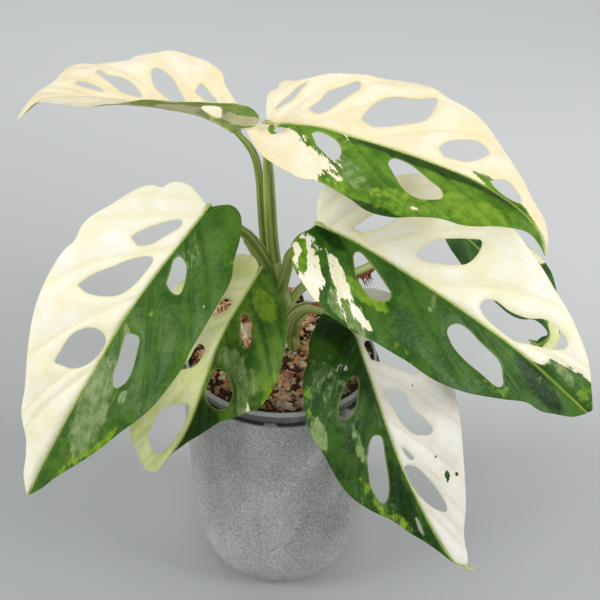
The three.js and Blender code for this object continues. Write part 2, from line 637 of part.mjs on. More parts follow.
function drySheath() {
  const random = seeded(19);
  let bundle = toSolid(bentTube(FIBRE_CORE, CORE_RADII, CORE_SIDES, CORE_SIDES));
  const curve = new THREE.CatmullRomCurve3(FIBRE_CORE.map(vector));
  for (let i = 0; i < FIBRE_COUNT; i += 1) {
    const root = curve.getPointAt((i + 0.5) / FIBRE_COUNT);
    const length = THREE.MathUtils.lerp(...FIBRE_LENGTH, random());
    const lean = new THREE.Vector3(random() - 0.3, random() - 0.7, -1.2).normalize();
    const tip = root.clone().addScaledVector(lean, length);
    const knee = root.clone().lerp(tip, 0.5).add(new THREE.Vector3(random() - 0.5, random() - 0.5, 0.4));
    const line = [root, knee, tip].map((place) => place.toArray());
    const fibre = bentTube(line, FIBRE_RADII, FIBRE_SIDES, FIBRE_SIDES);
    bundle = bundle.add(toSolid(fibre));
  }
  return toGeometry(largestPiece(bundle));
}

const finish = (color, roughness) => new THREE.MeshStandardMaterial({ color, roughness, metalness: 0 });
const CONCRETE = finish(0x9b9c9b, 0.85);
const PLASTIC = finish(0x4a4b4b, 0.4);
const BARK = finish(0x7a5138, 0.95);
const STALK_GREEN = finish(0x7e8f45, 0.5);
const DRY_BROWN = finish(0x6d3a24, 0.9);
const LEAF_COLOURS = {
  leaf_upper_left: 0xf3e7bb,
  leaf_upper_right: 0xdfe0ab,
  leaf_left: 0xc9d0a8,
  leaf_lower_left: 0x8fa554,
  leaf_right: 0xa7b88a,
  leaf_lower_right: 0x9fb08c,
  leaf_back: 0x4d7137,
};

const plant = new THREE.Group();

function add(name, geometry, material) {
  const mesh = new THREE.Mesh(geometry, material);
  mesh.name = name;
  plant.add(mesh);
}

add('cover_pot', coverPot(), CONCRETE);
add('nursery_pot', nurseryPot(), PLASTIC);
add('soil', soil(), BARK);
add('stem', bentTube(STEM_PATH, STEM_RADII, STALK_SIDES, STEM_STEPS), STALK_GREEN);

let cutter = toSolid(bentTube(STEM_PATH, STEM_RADII, STALK_SIDES, STEM_STEPS, FIT_GAP));
for (const [name, { leaf, path, radii }] of Object.entries(STALKS)) {
  const sheet = new Sheet(LEAVES[leaf]);
  const route = [...path, stalkSeat(sheet)];
  const steps = STALK_STEPS_PER_POINT * route.length;
  const whole = toSolid(bentTube(route, radii, STALK_SIDES, steps));
  const cut = whole.subtract(cutter).subtract(roomForLeaf(LEAVES[leaf], sheet));
  add(name, toGeometry(largestPiece(cut)), STALK_GREEN);
  cutter = cutter.add(toSolid(bentTube(route, radii, STALK_SIDES, steps, FIT_GAP)));
}

for (const [name, leaf] of Object.entries(LEAVES)) {
  add(name, blade(leaf), finish(LEAF_COLOURS[name], 0.45));
}
add('dry_sheath', drySheath(), DRY_BROWN);

export default plant;
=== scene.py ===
# %% [markdown]
# A variegated swiss cheese vine in its pot
#
# The plant has seven leaves with long holes, half cream and half green, on stalks that leave one short
# stem. It grows in bark chips in a thin nursery pot, which is set into a concrete pot with a round bottom.
# The frame holds those pieces as plain solids at their real size. This notebook sets the camera, gives each
# piece a finer surface in the same place, and ends with a floor and lamps.

# %% The frame, and the box that the finished model has to keep to
import math

import bpy
import numpy as np
from mathutils import Matrix, Vector
from mathutils.geometry import delaunay_2d_cdt


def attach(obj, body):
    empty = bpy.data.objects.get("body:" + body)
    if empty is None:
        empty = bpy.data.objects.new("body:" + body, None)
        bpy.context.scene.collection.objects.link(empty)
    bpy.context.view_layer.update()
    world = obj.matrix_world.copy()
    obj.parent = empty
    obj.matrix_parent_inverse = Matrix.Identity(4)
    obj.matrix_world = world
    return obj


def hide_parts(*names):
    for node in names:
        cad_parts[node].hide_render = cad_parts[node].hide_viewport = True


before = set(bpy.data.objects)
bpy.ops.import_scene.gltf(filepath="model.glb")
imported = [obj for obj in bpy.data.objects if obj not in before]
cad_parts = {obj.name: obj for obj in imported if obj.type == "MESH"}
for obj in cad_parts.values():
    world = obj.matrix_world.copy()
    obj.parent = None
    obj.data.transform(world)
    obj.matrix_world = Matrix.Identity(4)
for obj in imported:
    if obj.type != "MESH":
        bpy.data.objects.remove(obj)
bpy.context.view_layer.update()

MM = 0.001
print("frame:", len(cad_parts), "nodes")

# %% [markdown]
# The camera
#
# The picture was taken from a little above the plant: the rings of the pot show how far the camera looks
# down and how strong its lens is. The camera comes first, so that every later piece can be judged in it.

# %% The camera
CAMERA_PLACE = (8.7 * MM, -493.95 * MM, 510.27 * MM)
CAMERA_PITCH = math.radians(35)
CAMERA_ROLL = math.radians(1.5)
CAMERA_LENS = 75
CAMERA_SENSOR = 36

camera = bpy.data.objects.new("camera", bpy.data.cameras.new("camera"))
bpy.context.scene.collection.objects.link(camera)
camera.data.lens = CAMERA_LENS
camera.data.sensor_width = CAMERA_SENSOR
look = Vector((0, math.cos(CAMERA_PITCH), -math.sin(CAMERA_PITCH)))
level_right = Vector((1, 0, 0))
level_up = level_right.cross(look)
right = level_right * math.cos(CAMERA_ROLL) + level_up * math.sin(CAMERA_ROLL)
up = level_up * math.cos(CAMERA_ROLL) - level_right * math.sin(CAMERA_ROLL)
turn = Matrix((right, up, -look)).transposed()
camera.matrix_world = Matrix.Translation(CAMERA_PLACE) @ turn.to_4x4()
bpy.context.scene.camera = camera
bpy.context.scene.view_settings.view_transform = "Standard"
print("camera at", [round(value, 3) for value in camera.location])

# %% [markdown]
# Writing node trees as expressions
#
# Materials and Geometry Nodes are both trees of nodes. Here one socket of such a tree is wrapped so that
# plus, minus and times add Math nodes, and a pattern reads like a formula. Colours are never sent through
# Math nodes, which would turn them grey: they go through Mix nodes.

# %% Sockets with arithmetic, and a tree that they belong to


class Socket:
    """A value inside a node tree. Arithmetic on it adds Math nodes to the tree."""

    def __init__(self, tree, socket):
        self.tree = tree
        self.socket = socket

    def math(self, operation, *others):
        return self.tree.node("ShaderNodeMath", {"operation": operation}, self, *others)

    def __add__(self, other):
        return self.math("ADD", other)

    def __sub__(self, other):
        return self.math("SUBTRACT", other)

    def __rsub__(self, other):
        return self.tree.node("ShaderNodeMath", {"operation": "SUBTRACT"}, other, self)

    def __mul__(self, other):
        return self.math("MULTIPLY", other)

    __radd__ = __add__
    __rmul__ = __mul__

    def step(self, low, high):
        """0 at low and 1 at high, with a soft ramp between them. Low may be the larger one."""
        return self.tree.node("ShaderNodeMapRange", {"interpolation_type": "SMOOTHSTEP"}, self, low, high)


class Tree:
    """A node tree under construction."""

    def node(self, kind, settings, *values, output=0, **named):
        """Adds a node: settings first, then its sockets by order or by name. Gives one output."""
        node = self.nodes.new(kind)
        for key, value in settings.items():
            setattr(node, key, value)
        for key, value in [*enumerate(values), *named.items()]:
            self.feed(node.inputs[key.replace("_", " ") if isinstance(key, str) else key], value)
        return Socket(self, node.outputs[output])

    def feed(self, socket, value):
        if isinstance(value, Socket):
            self.links.new(value.socket, socket)
        elif socket.type == "RGBA":
            socket.default_value = (*value, 1)
        else:
            socket.default_value = value

    def parts(self, vector):
        """The three numbers of a vector."""
        node = self.nodes.new("ShaderNodeSeparateXYZ")
        self.feed(node.inputs[0], vector)
        return [Socket(self, socket) for socket in node.outputs]

    def vector(self, x, y, z):
        return self.node("ShaderNodeCombineXYZ", {}, x, y, z)

    def scaled(self, vector, amount):
        return self.node("ShaderNodeVectorMath", {"operation": "SCALE"}, vector, Scale=amount)

    def noise(self, vector, scale, detail, roughness):
        return self.node("ShaderNodeTexNoise", {}, Vector=vector, Scale=scale, Detail=detail,
                         Roughness=roughness)

    def cells(self, vector, scale):
        return self.node("ShaderNodeTexVoronoi", {}, Vector=vector, Scale=scale, output="Distance")


def from_axis(x, y):
    """The distance from the upright axis of the pots."""
    return (x * x + y * y).math("SQRT")


# %% A material as a tree


class Finish(Tree):
    """A material: a Principled shader and the nodes that feed it."""

    def __init__(self, name):
        self.material = bpy.data.materials.new(name)
        self.material.use_nodes = True
        self.nodes = self.material.node_tree.nodes
        self.links = self.material.node_tree.links
        self.shader = self.nodes["Principled BSDF"]

    def mix(self, mask, first, second):
        """The first colour where mask is 0, and the second where it is 1."""
        node = self.nodes.new("ShaderNodeMix")
        node.data_type = "RGBA"
        by_name = {socket.identifier: socket for socket in node.inputs}
        self.feed(by_name["Factor_Float"], mask)
        self.feed(by_name["A_Color"], first)
        self.feed(by_name["B_Color"], second)
        result = next(socket for socket in node.outputs if socket.identifier == "Result_Color")
        return Socket(self, result)

    def place(self):
        return self.node("ShaderNodeTexCoord", {}, output="Object")

    def attribute(self, name, output="Vector"):
        return self.node("ShaderNodeAttribute", {"attribute_name": name}, output=output)

    def bump(self, height, distance, strength):
        return self.node("ShaderNodeBump", {}, Height=height, Distance=distance, Strength=strength)

    def finish(self, **sockets):
        for name, value in sockets.items():
            self.feed(self.shader.inputs[name.replace("_", " ")], value)
        return self.material


def srgb(red, green, blue):
    """A colour as a screen shows it, 0 to 255, as the linear numbers that shaders use."""
    def linear(value):
        value /= 255
        return value / 12.92 if value <= 0.04045 else ((value + 0.055) / 1.055) ** 2.4
    return (linear(red), linear(green), linear(blue))


# %% A Geometry Nodes tree, and meshes made by it or from points


def add_object(name, data):
    """A new object in the scene, at the origin."""
    added = bpy.data.objects.new(name, data)
    bpy.context.scene.collection.objects.link(added)
    return added


class Maker(Tree):
    """A Geometry Nodes tree with named sizes, which turns one object's data into a new mesh."""

    def __init__(self, name, **sizes):
        self.group = bpy.data.node_groups.new(name, "GeometryNodeTree")
        self.nodes = self.group.nodes
        self.links = self.group.links
        face = self.group.interface
        face.new_socket("Geometry", in_out="INPUT", socket_type="NodeSocketGeometry")
        face.new_socket("Geometry", in_out="OUTPUT", socket_type="NodeSocketGeometry")
        for label, value in sizes.items():
            socket = face.new_socket(label, in_out="INPUT", socket_type="NodeSocketFloat")
            socket.default_value = value
        self.entry = self.nodes.new("NodeGroupInput")
        self.exit = self.nodes.new("NodeGroupOutput")

    def input(self, label="Geometry"):
        return Socket(self, self.entry.outputs[label])

    def chance(self, seed, low=None, high=None):
        """A number from 0 to 1 by chance for each point, or a vector between low and high."""
        if low is None:
            return self.node("FunctionNodeRandomValue", {"data_type": "FLOAT"}, Seed=seed, output=1)
        return self.node("FunctionNodeRandomValue", {"data_type": "FLOAT_VECTOR"}, low, high, Seed=seed)

    def store(self, geometry, name, kind, domain, value):
        settings = {"data_type": kind, "domain": domain}
        return self.node("GeometryNodeStoreNamedAttribute", settings, geometry, Name=name, Value=value)

    def join(self, *pieces):
        node = self.nodes.new("GeometryNodeJoinGeometry")
        for piece in pieces:
            self.links.new(piece.socket, node.inputs[0])
        return Socket(self, node.outputs[0])

    def finish(self, geometry, material):
        whole = self.node("GeometryNodeRealizeInstances", {}, geometry)
        self.feed(self.exit.inputs[0], self.node("GeometryNodeSetMaterial", {}, whole, Material=material))

    def run(self, name, source):
        """Applies the tree to an object and gives a new object with the resulting mesh."""
        modifier = source.modifiers.new(name, "NODES")
        modifier.node_group = self.group
        evaluated = source.evaluated_get(bpy.context.evaluated_depsgraph_get())
        mesh = bpy.data.meshes.new_from_object(evaluated)
        bpy.data.objects.remove(source)
        return add_object(name, mesh)


def add_mesh(name, vertices, faces, material=None):
    """A smooth mesh object, from points in metres and faces of any size."""
    mesh = bpy.data.meshes.new(name)
    mesh.from_pydata([tuple(vertex) for vertex in vertices], [], faces)
    if material:
        mesh.materials.append(material)
    mesh.polygons.foreach_set("use_smooth", [True] * len(mesh.polygons))
    mesh.update()
    return add_object(name, mesh)


def add_paths(name, paths):
    """A curve object with one open line for each list of points, with a radius at each point."""
    curve = bpy.data.curves.new(name, "CURVE")
    curve.dimensions = "3D"
    for points, radii in paths:
        spline = curve.splines.new("POLY")
        spline.points.add(len(points) - 1)
        spline.points.foreach_set("co", np.column_stack([points, np.ones(len(points))]).ravel())
        spline.points.foreach_set("radius", np.ascontiguousarray(radii, float))
    return add_object(name, curve)


def set_attribute(piece, name, values):
    """Stores three numbers for each vertex, which a material reads by the attribute's name."""
    attribute = piece.data.attributes.new(name, "FLOAT_VECTOR", "POINT")
    attribute.data.foreach_set("vector", np.ascontiguousarray(values, np.float32).ravel())


def stand_for(piece, node):
    """The piece moves with the plant and replaces a CAD node, which it hides."""
    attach(piece, "root")
    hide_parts(node)
    triangles = sum(len(polygon.vertices) - 2 for polygon in piece.data.polygons)
    print(piece.name, "stands for", node, "with", triangles, "triangles")


# %% [markdown]
# The concrete pot
#
# The pot is one wall of revolution: a round bottom, a wall that flares a little and a flat rim. Its
# profile is turned about the axis in small steps, and Geometry Nodes then push every point in or out by a
# little noise, with a few deeper pits where air bubbles sat against the mould. A flat surface with only a
# bump pattern would keep a perfectly smooth outline, which cast concrete never has.

# %% The profile of the pot, turned
POT_HEIGHT = 126 * MM
POT_RIM_RADIUS = 50 * MM
POT_WAIST_RADIUS = 45 * MM
POT_WAIST_HEIGHT = 38 * MM
POT_FOOT_RADIUS = 24 * MM
POT_FOOT_ROUNDING = 1 * MM
POT_WALL = 5 * MM
POT_FLOOR = 9 * MM
POT_SOFTENING = 1.2 * MM
POT_STEP = 1.0 * MM
POT_TURNS = 320


def turned(name, profile, turns, material=None):
    """A closed surface from a profile of (radius, height) that starts and ends on the axis."""
    rings = profile[1:-1]
    angles = np.arange(turns) * 2 * math.pi / turns
    radius, height = np.asarray(rings).T
    x = radius[:, None] * np.cos(angles)
    y = radius[:, None] * np.sin(angles)
    z = np.repeat(height[:, None], turns, axis=1)
    low_end, high_end = (0, 0, profile[0][1]), (0, 0, profile[-1][1])
    vertices = [low_end, *zip(x.ravel(), y.ravel(), z.ravel()), high_end]
    faces = []
    for k in range(turns):
        j = (k + 1) % turns
        faces.append((0, 1 + j, 1 + k))
        for ring in range(len(rings) - 1):
            low, high = 1 + ring * turns, 1 + (ring + 1) * turns
            faces.append((low + k, low + j, high + j, high + k))
        top = 1 + (len(rings) - 1) * turns
        faces.append((top + k, top + j, len(vertices) - 1))
    return add_mesh(name, vertices, faces, material)


def finer(profile, step):
    """The same profile with a point at every step."""
    points = [profile[0]]
    for (r0, z0), (r1, z1) in zip(profile, profile[1:]):
        count = max(1, round(math.hypot(r1 - r0, z1 - z0) / step))
        points += [(r0 + (r1 - r0) * k / count, z0 + (z1 - z0) * k / count) for k in range(1, count + 1)]
    return points


def pot_profile():
    quarter = [math.pi / 2 * k / 24 for k in range(25)]
    bowl = [(POT_FOOT_RADIUS + (POT_WAIST_RADIUS - POT_FOOT_RADIUS) * math.sin(turn),
             POT_WAIST_HEIGHT * (1 - math.cos(turn))) for turn in quarter]
    hollow = [((POT_WAIST_RADIUS - POT_WALL) * math.sin(turn),
               POT_WAIST_HEIGHT + POT_FLOOR - POT_WAIST_HEIGHT * math.cos(turn))
              for turn in reversed(quarter)]
    rim = [(POT_RIM_RADIUS - POT_SOFTENING * (1 - math.cos(turn)),
            POT_HEIGHT - POT_SOFTENING * (1 - math.sin(turn))) for turn in quarter[::6]]
    inner_rim = [(POT_RIM_RADIUS - POT_WALL + POT_SOFTENING * (1 - math.sin(turn)),
                  POT_HEIGHT - POT_SOFTENING * (1 - math.cos(turn))) for turn in quarter[::6]]
    outside = [(0, 0), (POT_FOOT_RADIUS - POT_FOOT_ROUNDING, 0), *bowl[1:], *rim]
    return finer(outside, POT_STEP) + finer([*inner_rim, *hollow], 4 * POT_STEP)


print("the pot's profile has", len(pot_profile()), "points")

# %% [markdown]
# The finish of the concrete
#
# Cast concrete is a grey paste with sand in it: fine light and dark grains, cloudy patches where it dried
# at different speeds, darker streaks where water ran down, and tiny black pits. All of them are noise at
# different sizes, read from the object's own coordinates. A broken black line on the rim's top, under the
# collar, is painted shade in the gap between collar and rim.

# %% Concrete


def concrete_finish():
    m = Finish("concrete")
    place = m.place()
    x, y, z = m.parts(place)
    clouds = m.noise(place, 28, 4, 0.6)
    sand = m.noise(place, 900, 3, 0.7)
    grit = m.noise(place, 2600, 2, 0.6)
    streaks = m.noise(m.vector(x, y, z * 0.12), 95, 4, 0.6)
    damp = m.noise(m.vector(x, y, z * 0.35), 32, 3, 0.5)
    holes = m.cells(place, 230)
    grain = (sand - 0.5) * 0.9 + (grit - 0.5) * 0.6
    tone = m.mix(clouds.step(0.3, 0.72), srgb(158, 159, 157), srgb(182, 182, 179))
    tone = m.mix(streaks.step(0.52, 0.72) * 0.5, tone, srgb(134, 135, 133))
    tone = m.mix(damp.step(0.48, 0.66) * 0.55, tone, srgb(136, 136, 133))
    tone = m.mix(grain.step(0.0, 0.22) * 0.65, tone, srgb(218, 218, 214))
    tone = m.mix(grain.step(0.0, -0.22) * 0.75, tone, srgb(98, 98, 95))
    tone = m.mix(holes.step(0.13, 0.06) * 0.65, tone, srgb(70, 69, 66))
    # Painted shade: a broken black line on the rim's top, just under the nursery pot's collar, stands for the
    # shade in the gap between them.
    inward = from_axis(x, y).step(POT_RIM_RADIUS - 0.1 * MM, POT_RIM_RADIUS - 1.4 * MM)
    under_rim = z.step(POT_HEIGHT - 3.5 * MM, POT_HEIGHT - 0.5 * MM)
    broken = m.noise(place, 120, 3, 0.6).step(0.43, 0.5)
    tone = m.mix(inward * under_rim * broken * 0.9, tone, srgb(34, 33, 31))
    relief = sand + clouds * 1.2 + holes.step(0.13, 0.05) * -0.5
    return m.finish(Base_Color=tone, Roughness=0.86, Normal=m.bump(relief, 0.5 * MM, 0.7))


concrete = concrete_finish()

# %% The pitted pot


def pitted_wall(material):
    m = Maker("pitted_wall", Unevenness=0.18 * MM, Pit_depth=0.3 * MM, Pits_per_metre=1 / (7 * MM))
    place = m.node("GeometryNodeInputPosition", {})
    normal = m.node("GeometryNodeInputNormal", {})
    broad = m.noise(place, 60.0, 3, 0.6)
    fine = m.noise(place, 420.0, 2, 0.6)
    pits = m.cells(place, m.input("Pits_per_metre"))
    uneven = (broad - 0.5 + (fine - 0.5) * 0.8) * m.input("Unevenness")
    push = uneven - pits.step(0.16, 0.06) * m.input("Pit_depth")
    moved = m.node("GeometryNodeSetPosition", {}, m.input(), Offset=m.scaled(normal, push))
    m.finish(moved, material)
    return m


pot = pitted_wall(concrete).run("concrete_pot", turned("pot_form", pot_profile(), POT_TURNS))
stand_for(pot, "cover_pot")

# %% [markdown]
# The nursery pot
#
# A thin plastic cup hangs in the concrete pot by its collar, and only the collar shows. Plastic that thin
# has a rounded lip, a slight shine and fine moulding lines round it. The top band of the lip is painted
# lighter, as a painted highlight. The drain holes are cut by a Boolean modifier, because they are round
# holes through a flat floor.

# %% The nursery pot's form
FIT_GAP = 0.3 * MM
NURSERY_HEIGHT = 90 * MM
NURSERY_WALL = 1.2 * MM
NURSERY_BASE_RADIUS = 34 * MM
NURSERY_BASE_ROUNDING = 1 * MM
NURSERY_NECK_RADIUS = POT_RIM_RADIUS - POT_WALL - 0.8 * MM
COLLAR_RADIUS = 47.5 * MM
COLLAR_WALL = 1.5 * MM
COLLAR_HEIGHT = 6.2 * MM
COLLAR_FOOT = POT_HEIGHT + FIT_GAP
COLLAR_TOP = COLLAR_FOOT + COLLAR_HEIGHT
NURSERY_FOOT = COLLAR_TOP - NURSERY_HEIGHT
DRAIN_HOLES = 6
DRAIN_HOLE_RADIUS = 3 * MM
DRAIN_RING_RADIUS = 22 * MM
MOULD_ROUNDING = 0.4 * MM
LIP_HIGHLIGHT_BAND = 2.4 * MM
NURSERY_TURNS = 144
NURSERY_CREASE = math.radians(40)


def nursery_profile():
    half = COLLAR_WALL / 2
    arc = [math.pi * k / 8 for k in range(9)]
    lip = [(COLLAR_RADIUS - half + half * math.cos(turn), COLLAR_TOP - half + half * math.sin(turn))
           for turn in arc]
    foot = [(COLLAR_RADIUS - MOULD_ROUNDING, COLLAR_FOOT), (COLLAR_RADIUS, COLLAR_FOOT + MOULD_ROUNDING)]
    inner_neck = NURSERY_NECK_RADIUS - NURSERY_WALL
    return [
        (0, NURSERY_FOOT), (NURSERY_BASE_RADIUS - NURSERY_BASE_ROUNDING, NURSERY_FOOT),
        (NURSERY_BASE_RADIUS, NURSERY_FOOT + NURSERY_BASE_ROUNDING),
        (NURSERY_NECK_RADIUS, COLLAR_FOOT - MOULD_ROUNDING),
        (NURSERY_NECK_RADIUS + MOULD_ROUNDING, COLLAR_FOOT), *foot, *lip,
        (COLLAR_RADIUS - COLLAR_WALL, COLLAR_FOOT + COLLAR_WALL), (inner_neck, COLLAR_FOOT),
        (NURSERY_BASE_RADIUS - NURSERY_WALL, NURSERY_FOOT + NURSERY_WALL), (0, NURSERY_FOOT + NURSERY_WALL),
    ]


def plastic_finish():
    m = Finish("nursery_plastic")
    place = m.place()
    _, _, z = m.parts(place)
    rings = m.noise(m.vector(0.0, 0.0, z), 1500, 2, 0.6)
    dust = m.noise(place, 160, 5, 0.7)
    specks = m.noise(place, 1300, 2, 0.6)
    tone = m.mix(dust.step(0.4, 0.7), srgb(84, 87, 84), srgb(112, 114, 111))
    tone = m.mix(specks.step(0.62, 0.75) * 0.4, tone, srgb(150, 148, 142))
    # Painted highlight: the top band of the lip is painted light grey, for the light that its rounded top
    # catches.
    lip = z.step(COLLAR_TOP - LIP_HIGHLIGHT_BAND, COLLAR_TOP - LIP_HIGHLIGHT_BAND + 0.5 * MM)
    tone = m.mix(lip, tone, srgb(166, 169, 166))
    rough = 0.2 + dust.step(0.45, 0.75) * 0.3
    relief = rings * 0.5 + dust * 0.6
    return m.finish(Base_Color=tone, Roughness=rough, Normal=m.bump(relief, 0.12 * MM, 0.5))


def drill_holes(cup):
    for k in range(DRAIN_HOLES):
        turn = 2 * math.pi * k / DRAIN_HOLES
        bpy.ops.mesh.primitive_cylinder_add(
            vertices=24, radius=DRAIN_HOLE_RADIUS, depth=6 * NURSERY_WALL,
            location=(DRAIN_RING_RADIUS * math.cos(turn), DRAIN_RING_RADIUS * math.sin(turn), NURSERY_FOOT))
        drill = bpy.context.object
        cut = cup.modifiers.new("drain_hole", "BOOLEAN")
        cut.operation = "DIFFERENCE"
        cut.object = drill
        evaluated = cup.evaluated_get(bpy.context.evaluated_depsgraph_get())
        cup.data = bpy.data.meshes.new_from_object(evaluated)
        cup.modifiers.clear()
        bpy.data.objects.remove(drill)


nursery = turned("nursery_cup", nursery_profile(), NURSERY_TURNS, plastic_finish())
drill_holes(nursery)
nursery.data.set_sharp_from_angle(angle=NURSERY_CREASE)
stand_for(nursery, "nursery_pot")

# %% [markdown]
# Bark chips and coir
#
# Potting bark is a heap of flat angular chips from dust to a thumbnail in size, with strands of coir
# among them. Geometry Nodes scatter chips of two sizes over a low mound, tilt each one by chance and give
# each its own shade of brown, and then lay short strands between them. A seed fixes the scatter. Towards
# the collar the chips lie in the shade, and the material paints that shade by darkening them there. The
# mound under the chips is near black: dark soil, and painted shade in the gaps between the chips.

# %% The material of the chips


def bark_finish():
    m = Finish("bark")
    place = m.place()
    x, y, z = m.parts(place)
    shade = m.attribute("shade", "Fac")
    grain = m.noise(place, 480, 4, 0.65)
    fibre = m.noise(m.vector(x, y * 0.35, z), 1500, 3, 0.6)
    # The mound has the shade number nought and comes out near black: dark soil, and painted shade in the gaps
    # between the chips.
    tone = m.mix(shade.step(0.02, 0.15), srgb(20, 13, 9), srgb(84, 50, 32))
    tone = m.mix(shade.step(0.24, 0.32), tone, srgb(240, 184, 130))
    tone = m.mix(shade.step(0.5, 0.58), tone, srgb(255, 236, 204))
    tone = m.mix(shade.step(0.84, 0.9), tone, srgb(204, 112, 56))
    tone = m.mix(grain.step(0.42, 0.66) * 0.35, tone, srgb(84, 52, 34))
    tone = m.mix(fibre.step(0.55, 0.75) * 0.45, tone, srgb(252, 230, 198))
    # Painted shade: chips towards the collar are darkened, for the shade that the collar and the pot's wall
    # cast on them.
    outward = from_axis(x, y) + (grain - 0.5) * (20 * MM)
    tone = m.mix(outward.step(28 * MM, 44 * MM) * 0.6, tone, srgb(62, 34, 20))
    relief = grain + fibre * 0.6
    return m.finish(Base_Color=tone, Roughness=0.92, Normal=m.bump(relief, 0.5 * MM, 0.9))


bark = bark_finish()

# %% The scatter of chips and strands
SOIL_LEVEL = COLLAR_TOP - 2 * MM
SOIL_CROWN = 3 * MM
CHIP_COVER = 1.2 * MM
MOUND_RINGS = 12
MOUND_TURNS = 48
STRAND_LIFT = 2.2 * MM
ABOVE_WALL = COLLAR_FOOT + COLLAR_WALL + 2 * FIT_GAP


def soil_height(radius):
    return SOIL_LEVEL + SOIL_CROWN * (1 - (radius / COLLAR_RADIUS) ** 2)


def mound():
    gap = COLLAR_RADIUS - COLLAR_WALL - FIT_GAP
    neck = NURSERY_NECK_RADIUS - NURSERY_WALL - FIT_GAP
    foot = NURSERY_BASE_RADIUS - NURSERY_WALL - FIT_GAP
    below = [(0, NURSERY_FOOT + NURSERY_WALL + FIT_GAP), (foot, NURSERY_FOOT + NURSERY_WALL + FIT_GAP),
             (neck, COLLAR_FOOT), (gap, ABOVE_WALL)]
    radii = [gap * k / MOUND_RINGS for k in range(MOUND_RINGS, -1, -1)]
    crown = [(radius, soil_height(radius) - CHIP_COVER) for radius in radii]
    return turned("mound", below + crown, MOUND_TURNS)


def chip_shape(m):
    """A ragged block, pushed out of shape by noise and left with flat faces."""
    block = m.node("GeometryNodeMeshCube", {}, (1, 1, 1), 3, 3, 3)
    ragged = m.node("ShaderNodeTexNoise", {}, Vector=m.node("GeometryNodeInputPosition", {}), Scale=1.9,
                    Detail=1.0, output=1)
    jitter = m.node("ShaderNodeVectorMath", {"operation": "SUBTRACT"}, ragged, (0.5, 0.5, 0.5))
    chip = m.node("GeometryNodeSetPosition", {}, block, Offset=m.scaled(jitter, 1.5))
    return m.node("GeometryNodeSetShadeSmooth", {}, chip, Shade_Smooth=False)


def strand_shape(m):
    """A thin bent rod of unit length."""
    line = m.node("GeometryNodeCurveQuadraticBezier", {}, 7, (-0.5, 0, 0), (0.0, 0.22, 0.16), (0.5, 0, 0.02))
    ring = m.node("GeometryNodeCurvePrimitiveCircle", {}, Resolution=4, Radius=0.016)
    return m.node("GeometryNodeCurveToMesh", {}, line, ring, Fill_Caps=True)


def scattered(m, shape, seed, reach, gap, most, sizes, flatness, tilt):
    """The shape over the mound, inside a reach: at least a gap apart, tilted, stretched and shaded."""
    x, y, z = m.parts(m.node("GeometryNodeInputPosition", {}))
    near = from_axis(x, y).math("LESS_THAN", reach) * z.math("GREATER_THAN", ABOVE_WALL)
    spots = m.node("GeometryNodeDistributePointsOnFaces", {"distribute_method": "POISSON"}, m.input(),
                   Selection=near, Distance_Min=gap, Density_Max=most, Seed=seed)
    lift = m.vector(0.0, 0.0, m.chance(seed + 5) * m.input("Heap"))
    spots = m.node("GeometryNodeSetPosition", {}, spots, Offset=lift)
    turn = m.chance(seed + 1, (-tilt, -tilt, -math.pi), (tilt, tilt, math.pi))
    size = m.chance(seed + 2)
    stretch = m.chance(seed + 3, (0.7, 0.6, flatness * 0.6), (1.6, 1.0, flatness * 1.3))
    smallest, largest = sizes
    grown = smallest + (largest - smallest) * (size * size)
    placed = m.node("GeometryNodeInstanceOnPoints", {}, spots, Instance=shape, Rotation=turn,
                    Scale=m.scaled(stretch, grown))
    return m.store(placed, "shade", "FLOAT", "INSTANCE", m.chance(seed + 4))


def scatter_tree(material):
    m = Maker("bark_scatter", Large_chip=4.4 * MM, Small_chip=2.2 * MM, Strand=9 * MM,
              Heap=2.4 * MM, Reach=41 * MM, Outer_reach=44.3 * MM)
    chip, strand = chip_shape(m), strand_shape(m)
    large, small, length = (m.input(label) for label in ("Large_chip", "Small_chip", "Strand"))
    reach, outer_reach = m.input("Reach"), m.input("Outer_reach")
    chips = scattered(m, chip, 3, reach, gap=4.0 * MM, most=60000.0, sizes=(large * 0.7, large * 2.2),
                      flatness=0.5, tilt=0.8)
    crumbs = scattered(m, chip, 11, outer_reach, gap=1.5 * MM, most=500000.0,
                       sizes=(small * 0.5, small * 1.4), flatness=0.7, tilt=0.9)
    coir = scattered(m, strand, 23, reach, gap=4.2 * MM, most=60000.0, sizes=(length * 0.5, length * 1.3),
                     flatness=1.0, tilt=0.35)
    lifted = m.node("GeometryNodeTransform", {}, coir, Translation=(0, 0, STRAND_LIFT))
    m.finish(m.join(m.input(), crumbs, chips, lifted), material)
    return m


soil = scatter_tree(bark).run("bark_chips", mound())
stand_for(soil, "soil")

# %% [markdown]
# Rods and threads
#
# Stalks, fibres and the strands of a coir lump are all thin rods along a curve. One Geometry Nodes tree
# sweeps a ring along every path, as thick as the path says at each point, and stores how far around and
# along the rod each point lies, so that a pattern can follow the rod. The lumps of coir at the pot's edge
# come first: each is a ball of short arcs wound round a core that is painted dark, as painted shade inside
# the lump.

# %% The sweep


def sweep_tree(name, material, groove, sides):
    m = Maker(name, Groove=groove)
    ring = m.node("GeometryNodeCurvePrimitiveCircle", {}, Resolution=sides, Radius=1.0)
    place = m.node("GeometryNodeInputPosition", {})
    _, y, _ = m.parts(place)
    dent = y.step(0.72, 1.0) * m.input("Groove")
    ring = m.node("GeometryNodeSetPosition", {}, ring, Offset=m.scaled(place, dent * -1.0))
    ring = m.store(ring, "around", "FLOAT_VECTOR", "POINT", place)
    length = m.node("GeometryNodeSplineParameter", {}, output="Length")
    thickness = m.node("GeometryNodeInputRadius", {})
    path = m.store(m.input(), "along", "FLOAT", "POINT", length)
    path = m.store(path, "girth", "FLOAT", "POINT", thickness)
    rod = m.node("GeometryNodeCurveToMesh", {}, path, ring, Scale=thickness, Fill_Caps=True)
    rod = m.node("GeometryNodeSetShadeSmooth", {}, rod)
    m.finish(rod, material)
    return m


